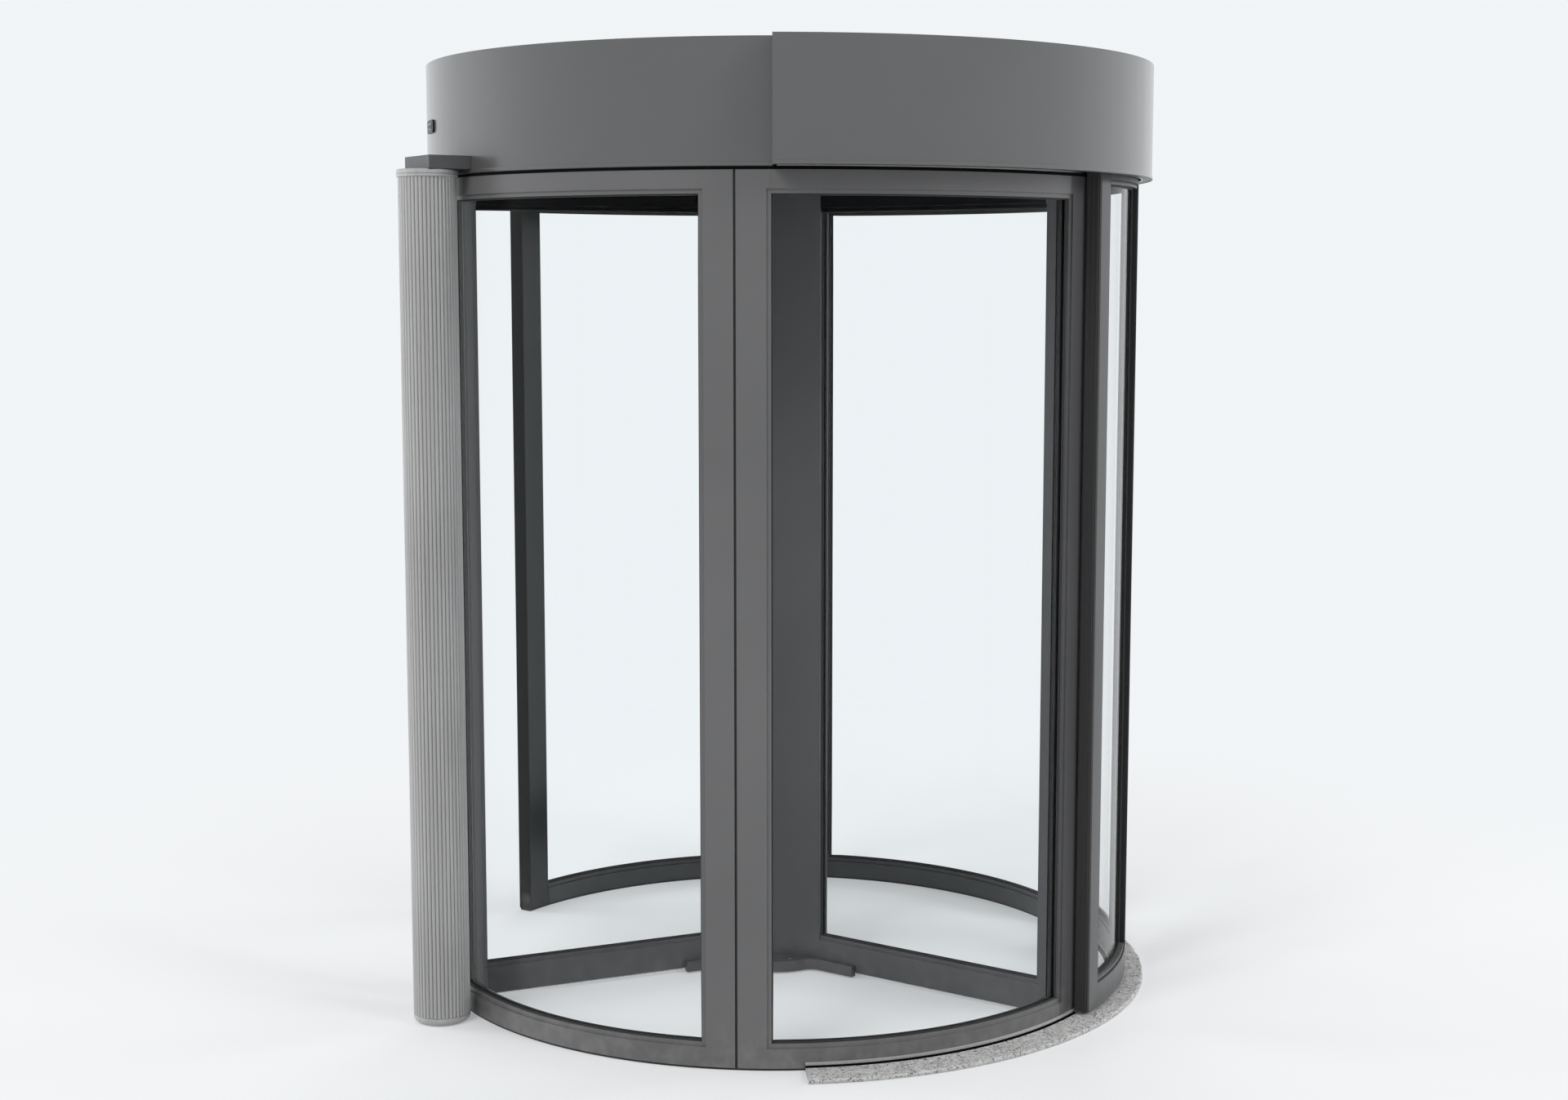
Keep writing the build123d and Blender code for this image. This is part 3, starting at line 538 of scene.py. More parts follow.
def lathe(bm, profile, centre, steps=96):
    """Turn a profile of (radius, height) points, pole to pole, round an upright line, and list its points."""
    poles = [bm.verts.new((centre.x, centre.y, profile[end][1])) for end in (0, -1)]
    rows = []
    for step in range(steps):
        turn = math.tau * step / steps
        rows.append([
            bm.verts.new((centre.x + radius * math.cos(turn), centre.y + radius * math.sin(turn), height))
            for radius, height in profile[1:-1]
        ])
    for step, row in enumerate(rows):
        before = rows[step - 1]
        bm.faces.new((poles[0], row[0], before[0]))
        bm.faces.new((poles[1], before[-1], row[-1]))
        for index in range(1, len(row)):
            bm.faces.new((before[index - 1], row[index - 1], row[index], before[index]))
    return [*poles, *(point for row in rows for point in row)]


def bar(bm, origin, along, across, up, sizes):
    """Rectangular bar: origin at the middle of its foot, its three directions and sizes."""
    a, b, height = sizes[0] / 2, sizes[1] / 2, sizes[2]
    outline = ((-a, -b), (a, -b), (a, b), (-a, b))
    low, high = [
        [bm.verts.new(origin + along * x + across * y + up * z) for x, y in outline] for z in (0.0, height)
    ]
    bm.faces.new(low[::-1])
    bm.faces.new(high)
    for index in range(4):
        bm.faces.new((low[index - 1], low[index], high[index], high[index - 1]))


def close_mesh(bm, bevel=0.0):
    """Bevel if asked, point all faces outwards and hand the mesh over."""
    if bevel:
        bmesh.ops.bevel(bm, geom=bm.edges[:], offset=bevel, segments=2, affect="EDGES", clamp_overlap=True)
    bmesh.ops.recalc_face_normals(bm, faces=bm.faces[:])
    mesh = bpy.data.meshes.new("piece")
    bm.to_mesh(mesh)
    bm.free()
    return mesh


def add_piece(name, mesh, material, body, replaced=(), crease=35.0):
    """Put a finished mesh into the scene as a piece that moves with a body."""
    mesh.name = name
    piece = bpy.data.objects.new(name, mesh)
    bpy.context.scene.collection.objects.link(piece)
    if material is not None:
        mesh.materials.clear()
        mesh.materials.append(material)
        mesh.shade_smooth()
        mesh.set_sharp_from_angle(angle=math.radians(crease))
    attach(piece, body)
    if replaced:
        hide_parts(*replaced)


def dress(material, *nodes):
    """Give CAD nodes their finish."""
    for node in nodes:
        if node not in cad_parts:
            raise RuntimeError(f"the packed model has no node {node}")
        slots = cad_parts[node].data.materials
        slots.clear()
        slots.append(material)


def geometry_tree(name, inputs):
    """An empty geometry tree with named inputs, and the values that they give."""
    group = bpy.data.node_groups.new(name, "GeometryNodeTree")
    for label, kind in (("Geometry", "NodeSocketGeometry"), *inputs):
        group.interface.new_socket(label, in_out="INPUT", socket_type=kind)
    group.interface.new_socket("Geometry", in_out="OUTPUT", socket_type="NodeSocketGeometry")
    tree = Tree(group)
    entry = tree.add("NodeGroupInput", output=None)
    return group, tree, {socket.name: Value(tree, socket) for socket in entry.outputs if socket.name}


def close_tree(tree, geometry, material):
    """Realize, paint and hand out the geometry."""
    real = tree.add("GeometryNodeRealizeInstances", None, {0: geometry})
    painted = tree.add("GeometryNodeSetMaterial", None, {"Geometry": real, "Material": material})
    tree.add("NodeGroupOutput", None, {0: painted}, None)


def stand_along(tree):
    """Each seed point's own way, and the turn that stands an instance up along it."""
    way = tree.add("GeometryNodeInputNamedAttribute", {"data_type": "FLOAT_VECTOR"}, {"Name": "way"})
    return way, tree.add("FunctionNodeAlignRotationToVector", {"axis": "Z"}, {"Vector": way})


def grow(name, group, values, seeds, links=(), ways=None):
    """Run a geometry tree on seed points or lines and return the result as a plain mesh."""
    mesh = bpy.data.meshes.new(name + "_seeds")
    mesh.from_pydata(seeds, links, [])
    if ways is not None:
        way = mesh.attributes.new("way", "FLOAT_VECTOR", "POINT")
        way.data.foreach_set("vector", [part for vector in ways for part in vector])
    holder = bpy.data.objects.new(name + "_seeds", mesh)
    bpy.context.scene.collection.objects.link(holder)
    modifier = holder.modifiers.new(name, "NODES")
    modifier.node_group = group
    for socket in group.interface.items_tree:
        if socket.in_out == "INPUT" and socket.name in values:
            modifier[socket.identifier] = values[socket.name]
    graph = bpy.context.evaluated_depsgraph_get()
    made = bpy.data.meshes.new_from_object(holder.evaluated_get(graph), depsgraph=graph)
    holder.modifiers.remove(modifier)
    bpy.data.objects.remove(holder)
    if not made.polygons:
        raise RuntimeError(f"the geometry tree of {name} gave no faces")
    return made


def bead_tree():
    """Round rubber bead along lines, open or closed."""
    found = bpy.data.node_groups.get("glazing bead")
    if found:
        return found
    group, tree, given = geometry_tree("glazing bead", (
        ("Radius", "NodeSocketFloat"), ("Rubber", "NodeSocketMaterial")))
    line = tree.add("GeometryNodeMeshToCurve", None, {0: given["Geometry"]})
    section = tree.add("GeometryNodeCurvePrimitiveCircle", None, {"Resolution": 8, "Radius": given["Radius"]})
    tube = tree.add("GeometryNodeCurveToMesh", None, {
        "Curve": line, "Profile Curve": section, "Fill Caps": True})
    close_tree(tree, tube, given["Rubber"])
    return group


def brush_tree():
    """Tufts on seed points, each along its own way with a little lean and unequal length."""
    group, tree, given = geometry_tree("brush tufts", (
        ("Root radius", "NodeSocketFloat"), ("Tip radius", "NodeSocketFloat"), ("Lean", "NodeSocketFloat"),
        ("Seed", "NodeSocketInt"), ("Bristle", "NodeSocketMaterial")))
    way, stand = stand_along(tree)
    reach = tree.add("ShaderNodeVectorMath", {"operation": "LENGTH"}, {0: way}, "Value")
    lean = tree.add("FunctionNodeRandomValue", {"data_type": "FLOAT_VECTOR"}, {
        0: (-1.0, -1.0, -1.0), 1: (1.0, 1.0, 1.0), "Seed": given["Seed"]})
    lean = tree.add("ShaderNodeVectorMath", {"operation": "SCALE"}, {0: lean, "Scale": given["Lean"]})
    turned = tree.add("FunctionNodeRotateRotation", {"rotation_space": "LOCAL"}, {
        0: stand, 1: tree.add("FunctionNodeEulerToRotation", None, {0: lean})})
    uneven = tree.add("FunctionNodeRandomValue", {"data_type": "FLOAT"}, {
        2: 0.9, 3: 1.0, "Seed": given["Seed"]}, 1)
    tall = tree.add("ShaderNodeCombineXYZ", None, {0: 1.0, 1: 1.0, 2: reach * uneven})
    tuft = tree.add("GeometryNodeMeshCone", None, {
        "Vertices": 5, "Radius Top": given["Tip radius"], "Radius Bottom": given["Root radius"],
        "Depth": 1.0})
    tufts = tree.add("GeometryNodeInstanceOnPoints", None, {
        "Points": given["Geometry"], "Instance": tuft, "Rotation": turned, "Scale": tall})
    close_tree(tree, tufts, given["Bristle"])
    return group


def reed_tree():
    """Column shaft: a core and a ring of round reeds."""
    group, tree, given = geometry_tree("reeded shaft", (
        ("Centre", "NodeSocketVector"), ("Core radius", "NodeSocketFloat"),
        ("Reed radius", "NodeSocketFloat"), ("Reeds", "NodeSocketInt"), ("Height", "NodeSocketFloat"),
        ("Paint", "NodeSocketMaterial")))

    def rod(sides, radius):
        return tree.add("GeometryNodeMeshCylinder", None, {
            "Vertices": sides, "Side Segments": 1, "Radius": radius, "Depth": given["Height"]})

    ring = tree.add("GeometryNodeMeshCircle", None, {
        "Vertices": given["Reeds"], "Radius": given["Core radius"]})
    reeds = tree.add("GeometryNodeInstanceOnPoints", None, {
        "Points": ring, "Instance": rod(14, given["Reed radius"])})
    whole = tree.add("GeometryNodeJoinGeometry", None, {0: [reeds, rod(88, given["Core radius"])]})
    moved = tree.add("GeometryNodeTransform", None, {"Geometry": whole, "Translation": given["Centre"]})
    close_tree(tree, moved, given["Paint"])
    return group


def screw_tree():
    """Low round screw heads with a six-sided socket, each along its own way."""
    found = bpy.data.node_groups.get("screw heads")
    if found:
        return found
    group, tree, given = geometry_tree("screw heads", (
        ("Radius", "NodeSocketFloat"), ("Steel", "NodeSocketMaterial"), ("Recess", "NodeSocketMaterial")))
    _, stand = stand_along(tree)
    dome = tree.add("GeometryNodeMeshUVSphere", None, {"Segments": 16, "Rings": 8, "Radius": 1.0})
    dome = tree.add("GeometryNodeTransform", None, {"Geometry": dome, "Scale": (1.0, 1.0, 0.42)})
    dome = tree.add("GeometryNodeSetShadeSmooth", None, {0: dome})
    dome = tree.add("GeometryNodeSetMaterial", None, {"Geometry": dome, "Material": given["Steel"]})
    hexagon = tree.add("GeometryNodeMeshCylinder", None, {"Vertices": 6, "Radius": 0.45, "Depth": 0.1})
    hexagon = tree.add("GeometryNodeTransform", None, {"Geometry": hexagon, "Translation": (0.0, 0.0, 0.385)})
    hexagon = tree.add("GeometryNodeSetMaterial", None, {"Geometry": hexagon, "Material": given["Recess"]})
    head = tree.add("GeometryNodeJoinGeometry", None, {0: [dome, hexagon]})
    heads = tree.add("GeometryNodeInstanceOnPoints", None, {
        "Points": given["Geometry"], "Instance": head, "Rotation": stand,
        "Scale": tree.add("ShaderNodeCombineXYZ", None, {i: given["Radius"] for i in range(3)})})
    real = tree.add("GeometryNodeRealizeInstances", None, {0: heads})
    tree.add("NodeGroupOutput", None, {0: real}, None)
    return group


def add_screws(name, body, places):
    """Upright screw heads at these places, in one piece."""
    mesh = grow(name, screw_tree(), {
        "Radius": lengths().screw_radius, "Steel": finish(brushed_steel), "Recess": finish(screw_recess)},
        places, ways=[UP] * len(places))
    add_piece(name, mesh, None, body)


def bent_loop(radius, start, end, low, high, inset):
    """Closed line round a bent pane, drawn in from the pane's edges."""
    pitch, rungs = 1.4, 12
    turn = math.degrees(inset / radius)
    first, last = start + turn, end - turn
    steps = max(2, round((last - first) / pitch))
    bearings = [first + (last - first) * step / steps for step in range(steps + 1)]
    rise = [low + inset + (high - low - 2 * inset) * step / rungs for step in range(1, rungs)]
    return ([at(radius, b, low + inset) for b in bearings] + [at(radius, last, z) for z in rise]
            + [at(radius, b, high - inset) for b in reversed(bearings)]
            + [at(radius, first, z) for z in reversed(rise)])


def flat_loop(bearing, offset, start, end, low, high, inset):
    """Closed line round a wing's flat pane, on the face that lies at an offset from its middle."""
    turn = math.radians(bearing)
    side = Vector((math.cos(turn), math.sin(turn), 0.0)) * offset
    near, far, foot, head = start + inset, end - inset, low + inset, high - inset
    runs = ((near, foot), (far, foot), (far, head), (near, head))
    return [at(run, bearing, height) + side for run, height in runs]


def add_beads(name, body, lines, radius, closed=True):
    """Round rubber beads along lines, in one piece."""
    points, links = [], []
    for line in lines:
        first, count = len(points), len(line)
        points += line
        pairs = count if closed else count - 1
        links += [(first + index, first + (index + 1) % count) for index in range(pairs)]
    rubber = finish(black_rubber)
    mesh = grow(name, bead_tree(), {"Radius": radius, "Rubber": rubber}, points, links)
    add_piece(name, mesh, rubber, body, crease=60.0)


def leaf_span(side, wider=0.0):
    """Bearings of one night leaf's pane, or of a border round it."""
    start = math.degrees(lengths().leaf_pane_start) - wider
    end = math.degrees(lengths().leaf_pane_end) + wider
    return (start, end) if side == "near" else (180.0 - end, 180.0 - start)


class DOOR_OT_drum_frames(bpy.types.Operator):
    """Coat the wall frames, and add the black strip of painted shade beneath the canopy and the strips at the
    foot
    """
    bl_idname = "door.drum_frames"
    bl_label = "Drum frames"

    def execute(self, context):
        sizes = lengths()
        for side in SIDES:
            rails = (f"{side}_wall_{piece}" for piece in ("bottom_rails", "top_rails", "meeting_stiles"))
            dress(finish(frame_coat), *rails)
            dress(finish(post_coat), f"{side}_wall_end_posts")
        dress(finish(black_rubber), "wall_joint_seals", "floor_seals")
        half, start = math.degrees(sizes.wall_half), math.degrees(sizes.sill_start)
        face, sunk = sizes.wall_radius, sizes.wall_radius - 0.001
        joint, strip, wiper = bmesh.new(), bmesh.new(), bmesh.new()
        # Painted shade: a near black strip along the top of the walls stands in for the shadow beneath the
        # canopy.
        joint_face, joint_high = face + 0.0012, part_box("near_wall_top_rails")[1].z
        joint_low = joint_high - sizes.shadow_joint
        gap = ((sunk, joint_low), (joint_face, joint_low), (joint_face, joint_high), (sunk, joint_high))
        for bearing in WALL_BEARINGS:
            sweep_ring(joint, gap, bearing - half, bearing + half)
        strip_face, strip_low, strip_high, round_off = face + 0.0030, 0.0135, 0.0215, 0.001
        foot = ((sunk, strip_low), (face + 0.0022, strip_low), (strip_face, strip_low + round_off),
                (strip_face, strip_high - round_off), (face + 0.0020, strip_high), (sunk, strip_high))
        # Painted shade: the black wiper strip below the pale strip stands in for the shade at the wall's
        # foot.
        wiper_face, wiper_low = face + 0.0016, 0.0062
        skirt = ((sunk, wiper_low), (wiper_face, wiper_low), (wiper_face, strip_low), (sunk, strip_low))
        strip_end = half - 0.4
        for first, last in ((start, strip_end), (180.0 - strip_end, 180.0 - start)):
            sweep_ring(strip, foot, first, last)
            sweep_ring(wiper, skirt, first, last)
        add_piece("canopy_shadow_joints", close_mesh(joint), finish(joint_shadow), "drum")
        add_piece("wall_foot_strips", close_mesh(strip), finish(column_coat), "drum")
        add_piece("wall_foot_shade_wipers", close_mesh(wiper), finish(joint_shadow), "drum")
        return {"FINISHED"}


class DOOR_OT_canopy(bpy.types.Operator):
    """Coat the canopy, and add its folded hems, roof straps, rim screws and sensor windows"""
    bl_idname = "door.canopy"
    bl_label = "Canopy"

    def execute(self, context):
        dress(finish(canopy_coat), "inner_fascia", "outer_fascia")
        dress(finish(ceiling_coat), "ceiling")
        dress(finish(roof_zinc), "roof_cover")
        dress(finish(brushed_steel), "head_bearing", "floor_pivot", "night_leaf_head_track")
        dress(finish(sensor_shell), "presence_sensors")
        low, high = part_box("inner_fascia")[0].z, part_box("inner_fascia")[1].z
        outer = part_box("outer_fascia")[1].x
        inner = -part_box("inner_fascia")[0].x
        self.hems(low, inner, outer)
        self.roof(high, inner, outer)
        self.sensor_windows()
        return {"FINISHED"}

    def hems(self, low, inner, outer):
        """Folded lower edges of the two fascias, which meet at the steps."""
        near_step, far_step = 5.5, 174.5
        tall = lengths().hem_height
        hems = bmesh.new()
        for radius, start, end in ((inner, far_step, 360.0 + near_step), (outer, near_step, far_step)):
            sunk, rounded, proud = radius - 0.003, radius + 0.0010, radius + 0.0020
            profile = ((sunk, low - 0.0010), (rounded, low - 0.0010), (proud, low + 0.0004),
                       (proud, low + tall * 0.7), (rounded, low + tall), (sunk, low + tall))
            sweep_ring(hems, profile, start, end)
        add_piece("canopy_hems", close_mesh(hems), finish(canopy_coat), "drum")

    def roof(self, high, inner, outer):
        """Straps across the roof sheet, and screws along the rim and the straps."""
        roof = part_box("roof_cover")[1].z
        strap_rows, strap_circle, strap_width, strap_height = (-0.34, 0.34), 0.88, 0.044, 0.0024
        sunk, bevel = 0.0005, 0.0006
        straps = bmesh.new()
        for y in strap_rows:
            reach = math.sqrt(strap_circle ** 2 - y ** 2)
            bar(straps, Vector((0.0, y, roof - sunk)), Vector((1, 0, 0)), Vector((0, 1, 0)), UP,
                (2 * reach, strap_width, strap_height))
        add_piece("roof_straps", close_mesh(straps, bevel), finish(roof_zinc), "drum")
        rim, pitch, strap_top = 0.016, 12, roof + strap_height - sunk
        places = [at(inner - rim, bearing, high) for bearing in range(186, 360, pitch)]
        places += [at(outer - rim, bearing, high) for bearing in range(12, 174, pitch)]
        places += [Vector((x / 10, y, strap_top)) for y in strap_rows for x in range(-7, 8, 2)]
        add_screws("roof_screws", "drum", places)

    def sensor_windows(self):
        """Dark window and two lenses on the front of each sensor."""
        low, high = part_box("presence_sensors")
        middle = (low.z + high.z) / 2
        face, near = lengths().sensor_face, math.degrees(lengths().sensor_bearing)
        half_turn, lens_turn, lens_radius, lens_out, flattened = 1.75, 0.75, 0.0055, 0.0004, 0.72
        edge = ((-0.001, -0.009), (0.0002, -0.0088), (0.0007, -0.0080))
        profile = [(face + out, middle + rise) for out, rise in edge]
        profile += [(face + out, middle - rise) for out, rise in reversed(edge)]
        ball = arc(0.0, middle, lens_radius, -90, 90, 15)
        windows, lenses = bmesh.new(), bmesh.new()
        for bearing in (near, -180.0 - near):
            sweep_ring(windows, profile, bearing - half_turn, bearing + half_turn, 0.5)
            for shift in (-lens_turn, lens_turn):
                out = at(1.0, bearing + shift, 0.0)
                centre = at(face + lens_out, bearing + shift, middle)
                for point in lathe(lenses, ball, centre, steps=20):
                    point.co -= out * (point.co - centre).dot(out) * flattened
        for name, bm in (("sensor_windows", windows), ("sensor_lenses", lenses)):
            add_piece(name, close_mesh(bm), finish(sensor_window), "drum")


class DOOR_OT_glazing(bpy.types.Operator):
    """Make the panes clear and set rubber beads round each of them, on both faces"""
    bl_idname = "door.glazing"
    bl_label = "Glazing"

    def execute(self, context):
        s = lengths()
        dress(finish(clear_glass), *(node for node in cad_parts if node.endswith("_glass")))
        bead, inset = s.bead_radius, s.bead_radius * 0.4
        start, end = math.degrees(s.wall_pane_start), math.degrees(s.wall_pane_end)
        spans = [span for middle in WALL_BEARINGS
                 for span in ((middle + start, middle + end), (middle - end, middle - start))]
        wall_faces = (s.wall_glass_inner - bead, s.wall_glass_outer + bead)
        add_beads("wall_glazing_beads", "drum", [
            bent_loop(radius, *span, s.wall_pane_low, s.wall_pane_high, inset)
            for radius in wall_faces for span in spans], bead)
        off = s.wing_glass / 2 + bead
        add_beads("wing_glazing_beads", "rotor", [
            flat_loop(bearing, offset, s.wing_pane_start, s.wing_pane_end, s.wing_pane_low, s.wing_pane_high,
                      inset)
            for bearing in WING_BEARINGS for offset in (-off, off)], bead)
        self.post_gaskets(s)
        border = math.degrees(s.leaf_bead / s.leaf_outer)
        leaf_faces = (s.leaf_glass_inner - bead, s.leaf_glass_outer + bead)
        for side in SIDES:
            lines = [bent_loop(radius, *leaf_span(side), s.leaf_pane_low, s.leaf_pane_high, inset)
                     for radius in leaf_faces]
            lines.append(bent_loop(s.leaf_outer - s.leaf_step * 0.7, *leaf_span(side, border),
                                   s.leaf_pane_low - s.leaf_bead, s.leaf_pane_high + s.leaf_bead, inset))
            add_beads(f"{side}_leaf_glazing_beads", f"{side}_night_leaf", lines, bead)
        return {"FINISHED"}

    def post_gaskets(self, s):
        """Upright gaskets where the wing panes leave the post."""
        gaskets, depth, bevel = bmesh.new(), 0.0036, 0.0008
        wide = (s.wing_half - s.wing_glass / 2) / 2
        for bearing in WING_BEARINGS:
            out = at(1.0, bearing, 0.0)
            across = out.cross(UP)
            for way in (-1, 1):
                middle = way * (s.wing_glass + wide) / 2
                foot = out * s.wing_pane_start + across * middle + UP * s.wing_pane_low
                bar(gaskets, foot, out, across, UP, (depth, wide, s.wing_pane_high - s.wing_pane_low))
        add_piece("wing_post_gaskets", close_mesh(gaskets, bevel), finish(black_rubber), "rotor")


class DOOR_OT_column(bpy.types.Operator):
    """Build the reeded shaft with its turned foot and cap, and coat the bracket"""
    bl_idname = "door.column"
    bl_label = "Reeded column"

    def execute(self, context):
        sizes = lengths()
        coat = finish(column_coat)
        low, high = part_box("reeded_column")
        middle = (low + high) / 2
        core = (high.x - low.x) / 2 + 0.0004 - sizes.reed_radius
        shaft = grow("reeded_shaft", reed_tree(), {
            "Centre": tuple(middle), "Core radius": core, "Reed radius": sizes.reed_radius,
            "Reeds": sizes.reed_count, "Height": high.z - low.z, "Paint": coat}, [(0.0, 0.0, 0.0)])
        add_piece("reeded_shaft", shaft, coat, "drum", ["reeded_column"])
        low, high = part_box("column_foot")
        radius, toe = (high.x - low.x) / 2, 0.015
        rim = ((radius, high.z - 0.003), (radius - 0.0008, high.z - 0.001), (radius - 0.003, high.z))
        foot = bmesh.new()
        lathe(foot, [(0.0, 0.0), *arc(radius - toe, toe, toe, -90, 0, 10), *rim, (0.0, high.z)], middle)
        add_piece("turned_foot", close_mesh(foot), coat, "drum", ["column_foot"])
        low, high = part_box("column_cap")
        radius, neck, crown, groove = (high.x - low.x) / 2, 0.004, 0.006, 0.0016
        cut = ((radius, low.z + 0.0065), (radius - groove, low.z + 0.0075),
               (radius - groove, low.z + 0.0085), (radius, low.z + 0.0095))
        cap = bmesh.new()
        lathe(cap, [(0.0, low.z), *arc(radius - neck, low.z + neck, neck, -90, 0, 15), *cut,
                    *arc(radius - crown, high.z - crown, crown, 0, 90, 15), (0.0, high.z)], middle)
        add_piece("turned_cap", close_mesh(cap), coat, "drum", ["column_cap"])
        dress(finish(rotor_coat), "column_bracket")
        return {"FINISHED"}


class DOOR_OT_rotor(bpy.types.Operator):
    """Coat the post, its foot cover and the wings, and add the cover's screws"""
    bl_idname = "door.rotor"
    bl_label = "Rotor"

    def execute(self, context):
        dress(finish(rotor_coat), "rotor_post", "rotor_foot_cover")
        for wing in ("near_inner", "near_outer", "far"):
            dress(finish(rotor_coat), f"{wing}_wing_stile")
            dress(finish(wing_coat), f"{wing}_wing_rails")
        dress(finish(brushed_steel), "rotor_shaft")
        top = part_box("rotor_foot_cover")[1].z
        arms, spread, circle = (0, 120, 240), 24, 0.126
        places = [at(circle, bearing + shift, top) for bearing in arms for shift in (-spread, spread)]
        add_screws("foot_cover_screws", "rotor", places)
        return {"FINISHED"}


class DOOR_OT_wing_brushes(bpy.types.Operator):
    """Set rows of tufts in slim holders along the foot, head and outer edge of each wing"""
    bl_idname = "door.wing_brushes"
    bl_label = "Wing brushes"

    def execute(self, context):
        sizes = lengths()
        low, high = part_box("far_wing_stile")
        edge = high.y
        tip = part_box("wing_brushes")[1].y
        foot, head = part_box("wing_brushes")[0].z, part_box("wing_brushes")[1].z
        span, rise = edge - sizes.wing_pane_start, high.z - low.z
        flat_holder, edge_holder, holder_width, sunk, row = 0.0032, 0.0018, 0.0078, 0.001, 0.0016
        seeds, ways = [], []
        holders = bmesh.new()
        for bearing in WING_BEARINGS:
            out = at(1.0, bearing, 0.0)
            side = Vector((-out.y, out.x, 0.0))
            middle = out * (sizes.wing_pane_start + span / 2)
            runs = (
                (middle + UP * low.z, out, -UP, span, low.z - foot, flat_holder),
                (middle + UP * high.z, out, UP, span, head - high.z, flat_holder),
                (out * edge + UP * (low.z + rise / 2), UP, out, rise, tip - edge, edge_holder),
            )
            for origin, along, way, run, reach, holder in runs:
                bar(holders, origin - way * sunk, along, side, way, (run, holder_width, holder + sunk))
                count = int(run / sizes.brush_pitch)
                for index in range(count):
                    place = origin + along * ((index + 0.5) / count - 0.5) * run
                    for shift in (-row, row):
                        seeds.append(place + side * shift)
                        ways.append(way * reach)
        tufts = grow("wing_bristles", brush_tree(), {
            "Root radius": sizes.tuft_root, "Tip radius": sizes.tuft_tip, "Lean": 0.09, "Seed": 11,
            "Bristle": finish(brush_nylon)}, seeds, ways=ways)
        add_piece("wing_bristles", tufts, None, "rotor", ["wing_brushes"])
        add_piece("brush_holders", close_mesh(holders), finish(brushed_steel), "rotor")
        return {"FINISHED"}


class DOOR_OT_night_leaves(bpy.types.Operator):
    """Coat the sliding night leaves, finish their seals and hangers, and add ribs to their soft edges"""
    bl_idname = "door.night_leaves"
    bl_label = "Night leaves"

    def execute(self, context):
        sizes = lengths()
        edge = math.degrees(sizes.leaf_edge)
        depth, rib_places, rib_end = sizes.leaf_outer - sizes.leaf_inner, (0.16, 0.5, 0.84), 0.001
        for side in SIDES:
            leaf = f"{side}_night_leaf"
            dress(finish(leaf_coat), f"{leaf}_rails", f"{leaf}_stiles")
            dress(finish(black_rubber), f"{leaf}_edge_seal")
            dress(finish(brushed_steel), f"{leaf}_hangers")
            low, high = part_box(f"{leaf}_edge_seal")
            bearing = edge if side == "near" else 180.0 - edge
            ends = (low.z + rib_end, high.z - rib_end)
            add_beads(f"{leaf}_edge_lips", leaf, [
                [at(sizes.leaf_inner + depth * place, bearing, height) for height in ends]
                for place in rib_places], sizes.lip_radius, False)
        return {"FINISHED"}


class DOOR_OT_stone_sill(bpy.types.Operator):
    """Hew the granite sill, with a rough top and a chipped outer edge"""
    bl_idname = "door.stone_sill"
    bl_label = "Stone sill"

    def execute(self, context):
        _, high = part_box("stone_sill")
        outer, top = high.x, high.z
        inner, start = lengths().sill_inner, math.degrees(lengths().sill_start)
        steps, lanes, bevel = 640, 22, 0.003
        grit_size, grit_depth = 190.0, 0.0003
        chip_size, chip_least, chip_depth, chip_drop = 34.0, 0.12, 0.0035, 0.6
        width = outer - bevel - inner
        profile = [(inner, 0.0), (outer, 0.0), (outer, (top - bevel) / 2), (outer, top - bevel),
                   (outer - bevel / 2, top - bevel / 2)]
        profile += [(outer - bevel - width * lane / lanes, top) for lane in range(lanes + 1)]
        bm = bmesh.new()
        sweep_ring(bm, profile, start, 180.0 - start, (180.0 - 2 * start) / steps)
        for vert in bm.verts:
            if vert.co.z < 0.0005:
                continue
            radius = math.hypot(vert.co.x, vert.co.y)
            grit = noise.noise(vert.co * grit_size) * grit_depth
            chip = max(0.0, noise.noise(vert.co * chip_size) - chip_least) * chip_depth
            if vert.co.z > top - bevel * 0.9:
                vert.co.z += grit - grit_depth
            if radius > outer - bevel * 1.2:
                shrink = 1.0 - (chip + grit_depth + grit) / radius
                vert.co.x *= shrink
                vert.co.y *= shrink
                vert.co.z -= chip * chip_drop
        add_piece("granite_sill", close_mesh(bm), finish(flamed_granite), "drum",
                  ["stone_sill"], crease=50.0)
        return {"FINISHED"}


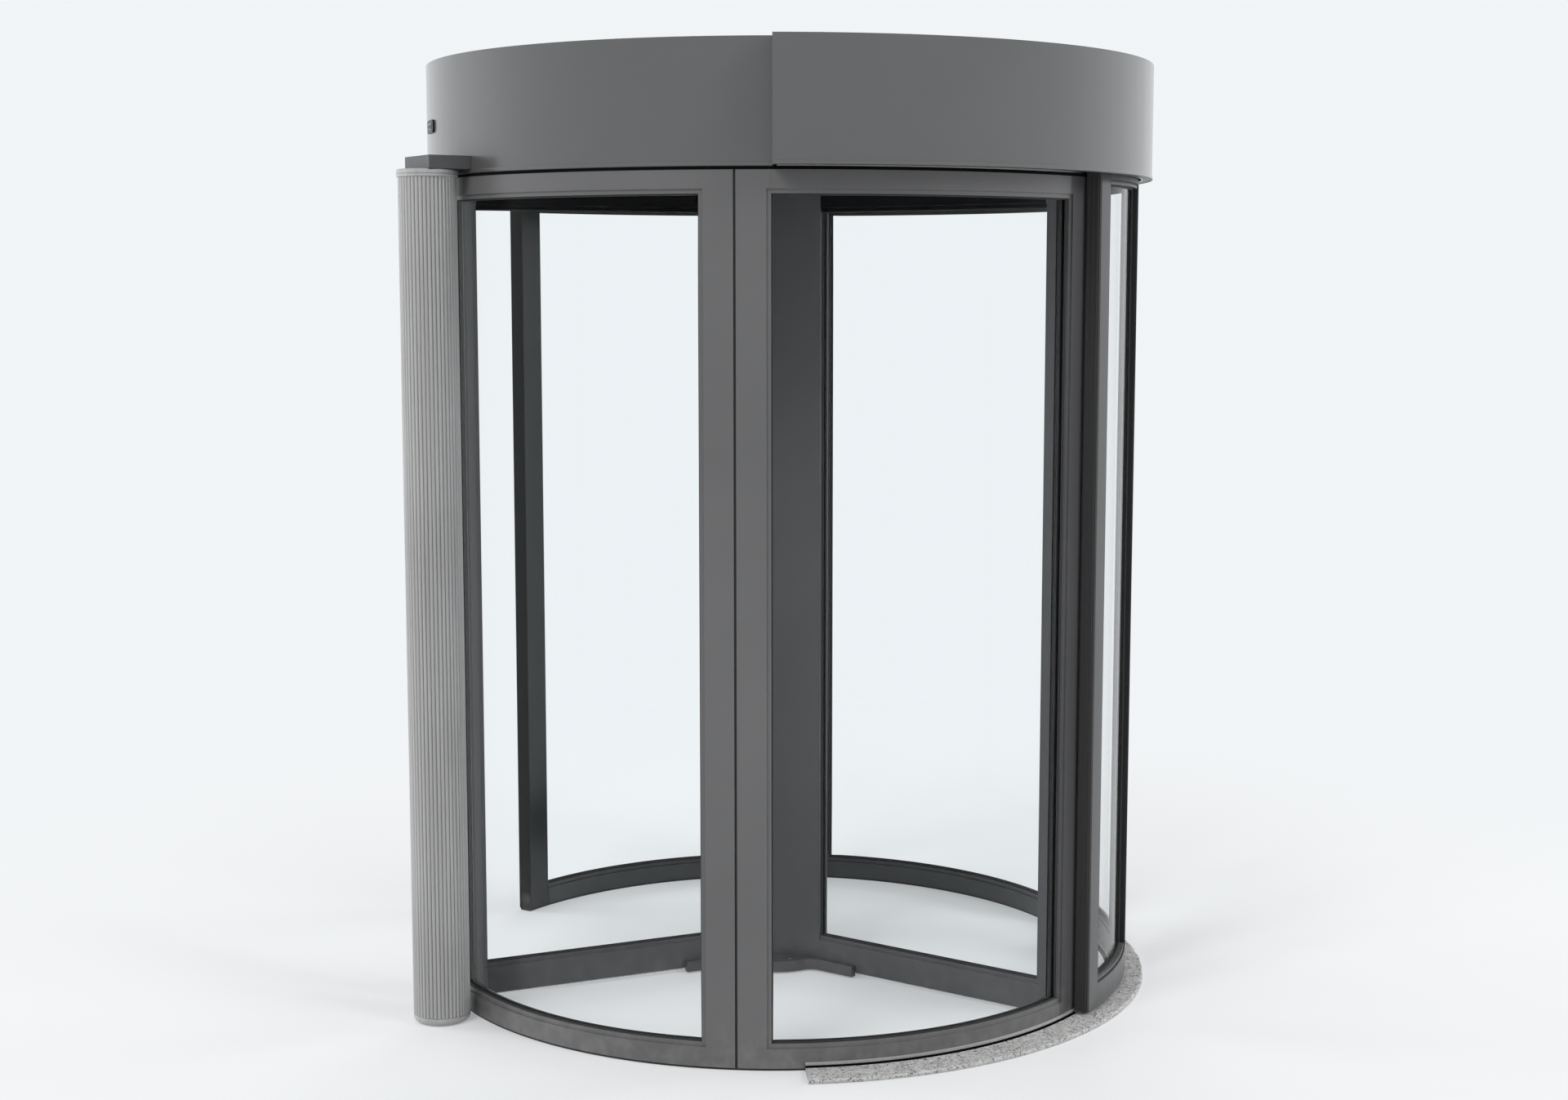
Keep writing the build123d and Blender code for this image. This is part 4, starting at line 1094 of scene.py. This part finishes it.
class DOOR_OT_stage(bpy.types.Operator):
    """Set the pale floor, the soft lamps, the background and the camera"""
    bl_idname = "door.stage"
    bl_label = "Stage"

    def execute(self, context):
        scene, stage = context.scene, context.scene.door_stage
        scene.view_settings.view_transform = "Standard"
        self.floor(scene)
        self.sky(scene, stage)
        aim = Vector((0.0, 0.0, 1.2))
        for name, place, size, part in (
            ("front_lamp", (-5.8, -10.4, 10.5), 6.0, 1.34),
            ("right_lamp", (9.6, -5.0, 7.5), 5.0, 0.72),
            ("left_rim_lamp", (-9.4, 1.0, 1.8), 4.4, 0.95),
            ("right_rim_lamp", (9.0, 4.4, 2.4), 4.4, 0.80),
            ("back_lamp", (0.9, 10.8, 3.6), 6.0, 0.50),
        ):
            lamp = bpy.data.lights.new(name, "AREA")
            lamp.energy = stage.lamp_power * part
            lamp.size = size
            holder = self.set_up(scene, name, lamp, place, aim - Vector(place))
            holder.visible_camera = holder.visible_transmission = holder.visible_glossy = False
        camera = bpy.data.cameras.new("photo_camera")
        camera.lens = stage.camera_lens
        camera.sensor_width = 36.0
        yaw, pitch = stage.camera_yaw, stage.camera_pitch
        ahead = Vector((math.sin(yaw) * math.cos(pitch), math.cos(yaw) * math.cos(pitch), -math.sin(pitch)))
        scene.camera = self.set_up(scene, "photo_camera", camera, stage.camera_place, ahead)
        return {"FINISHED"}

    def set_up(self, scene, name, data, place, ahead):
        """Stand a lamp or the camera at a place and point it ahead."""
        holder = bpy.data.objects.new(name, data)
        holder.location = place
        holder.rotation_euler = ahead.to_track_quat("-Z", "Y").to_euler()
        scene.collection.objects.link(holder)
        return holder

    def floor(self, scene):
        """Wide round floor, a hair below the door's feet."""
        reach, drop = 40.0, 0.0006
        bm = bmesh.new()
        bmesh.ops.create_circle(bm, cap_ends=True, segments=96, radius=reach)
        mesh = bpy.data.meshes.new("floor")
        bm.to_mesh(mesh)
        bm.free()
        mesh.materials.append(finish(pale_floor))
        floor = bpy.data.objects.new("floor", mesh)
        floor.location.z = -drop
        scene.collection.objects.link(floor)

    def sky(self, scene, stage):
        """Even light from all round, with the pale background where it is seen."""
        world = bpy.data.worlds.new("studio")
        world.use_nodes = True
        world.node_tree.nodes.clear()
        scene.world = world
        tree = Tree(world.node_tree)
        ambient = tree.add("ShaderNodeBackground", None, {
            "Color": (1.0, 1.0, 1.0, 1.0), "Strength": stage.ambient})
        backdrop = tree.add("ShaderNodeBackground", None, {"Color": (*stage.backdrop, 1.0)})
        tree.blend(tree.rays(*SEEN_RAYS), ambient, backdrop, "ShaderNodeOutputWorld")


STEPS = (DOOR_OT_drum_frames, DOOR_OT_canopy, DOOR_OT_glazing, DOOR_OT_column, DOOR_OT_rotor,
         DOOR_OT_wing_brushes, DOOR_OT_night_leaves, DOOR_OT_stone_sill, DOOR_OT_stage)


class DOOR_PT_finishes(bpy.types.Panel):
    """Lists the steps that dress the revolving door"""
    bl_label = "Revolving door"
    bl_idname = "DOOR_PT_finishes"
    bl_space_type = "VIEW_3D"
    bl_region_type = "UI"
    bl_category = "Revolving door"

    def draw(self, context):
        for step in STEPS:
            self.layout.operator(step.bl_idname)


CLASSES = (DoorFinishes, DoorSizes, DoorStage, *STEPS, DOOR_PT_finishes)


def register():
    for kind in CLASSES:
        bpy.utils.register_class(kind)
    bpy.types.Scene.door_finishes = bpy.props.PointerProperty(type=DoorFinishes)
    bpy.types.Scene.door_sizes = bpy.props.PointerProperty(type=DoorSizes)
    bpy.types.Scene.door_stage = bpy.props.PointerProperty(type=DoorStage)


def unregister():
    for name in ("door_finishes", "door_sizes", "door_stage"):
        delattr(bpy.types.Scene, name)
    for kind in reversed(CLASSES):
        bpy.utils.unregister_class(kind)


def main():
    register()
    for step in STEPS:
        getattr(bpy.ops.door, step.bl_idname.split(".")[1])()


if __name__ == "__main__":
    main()
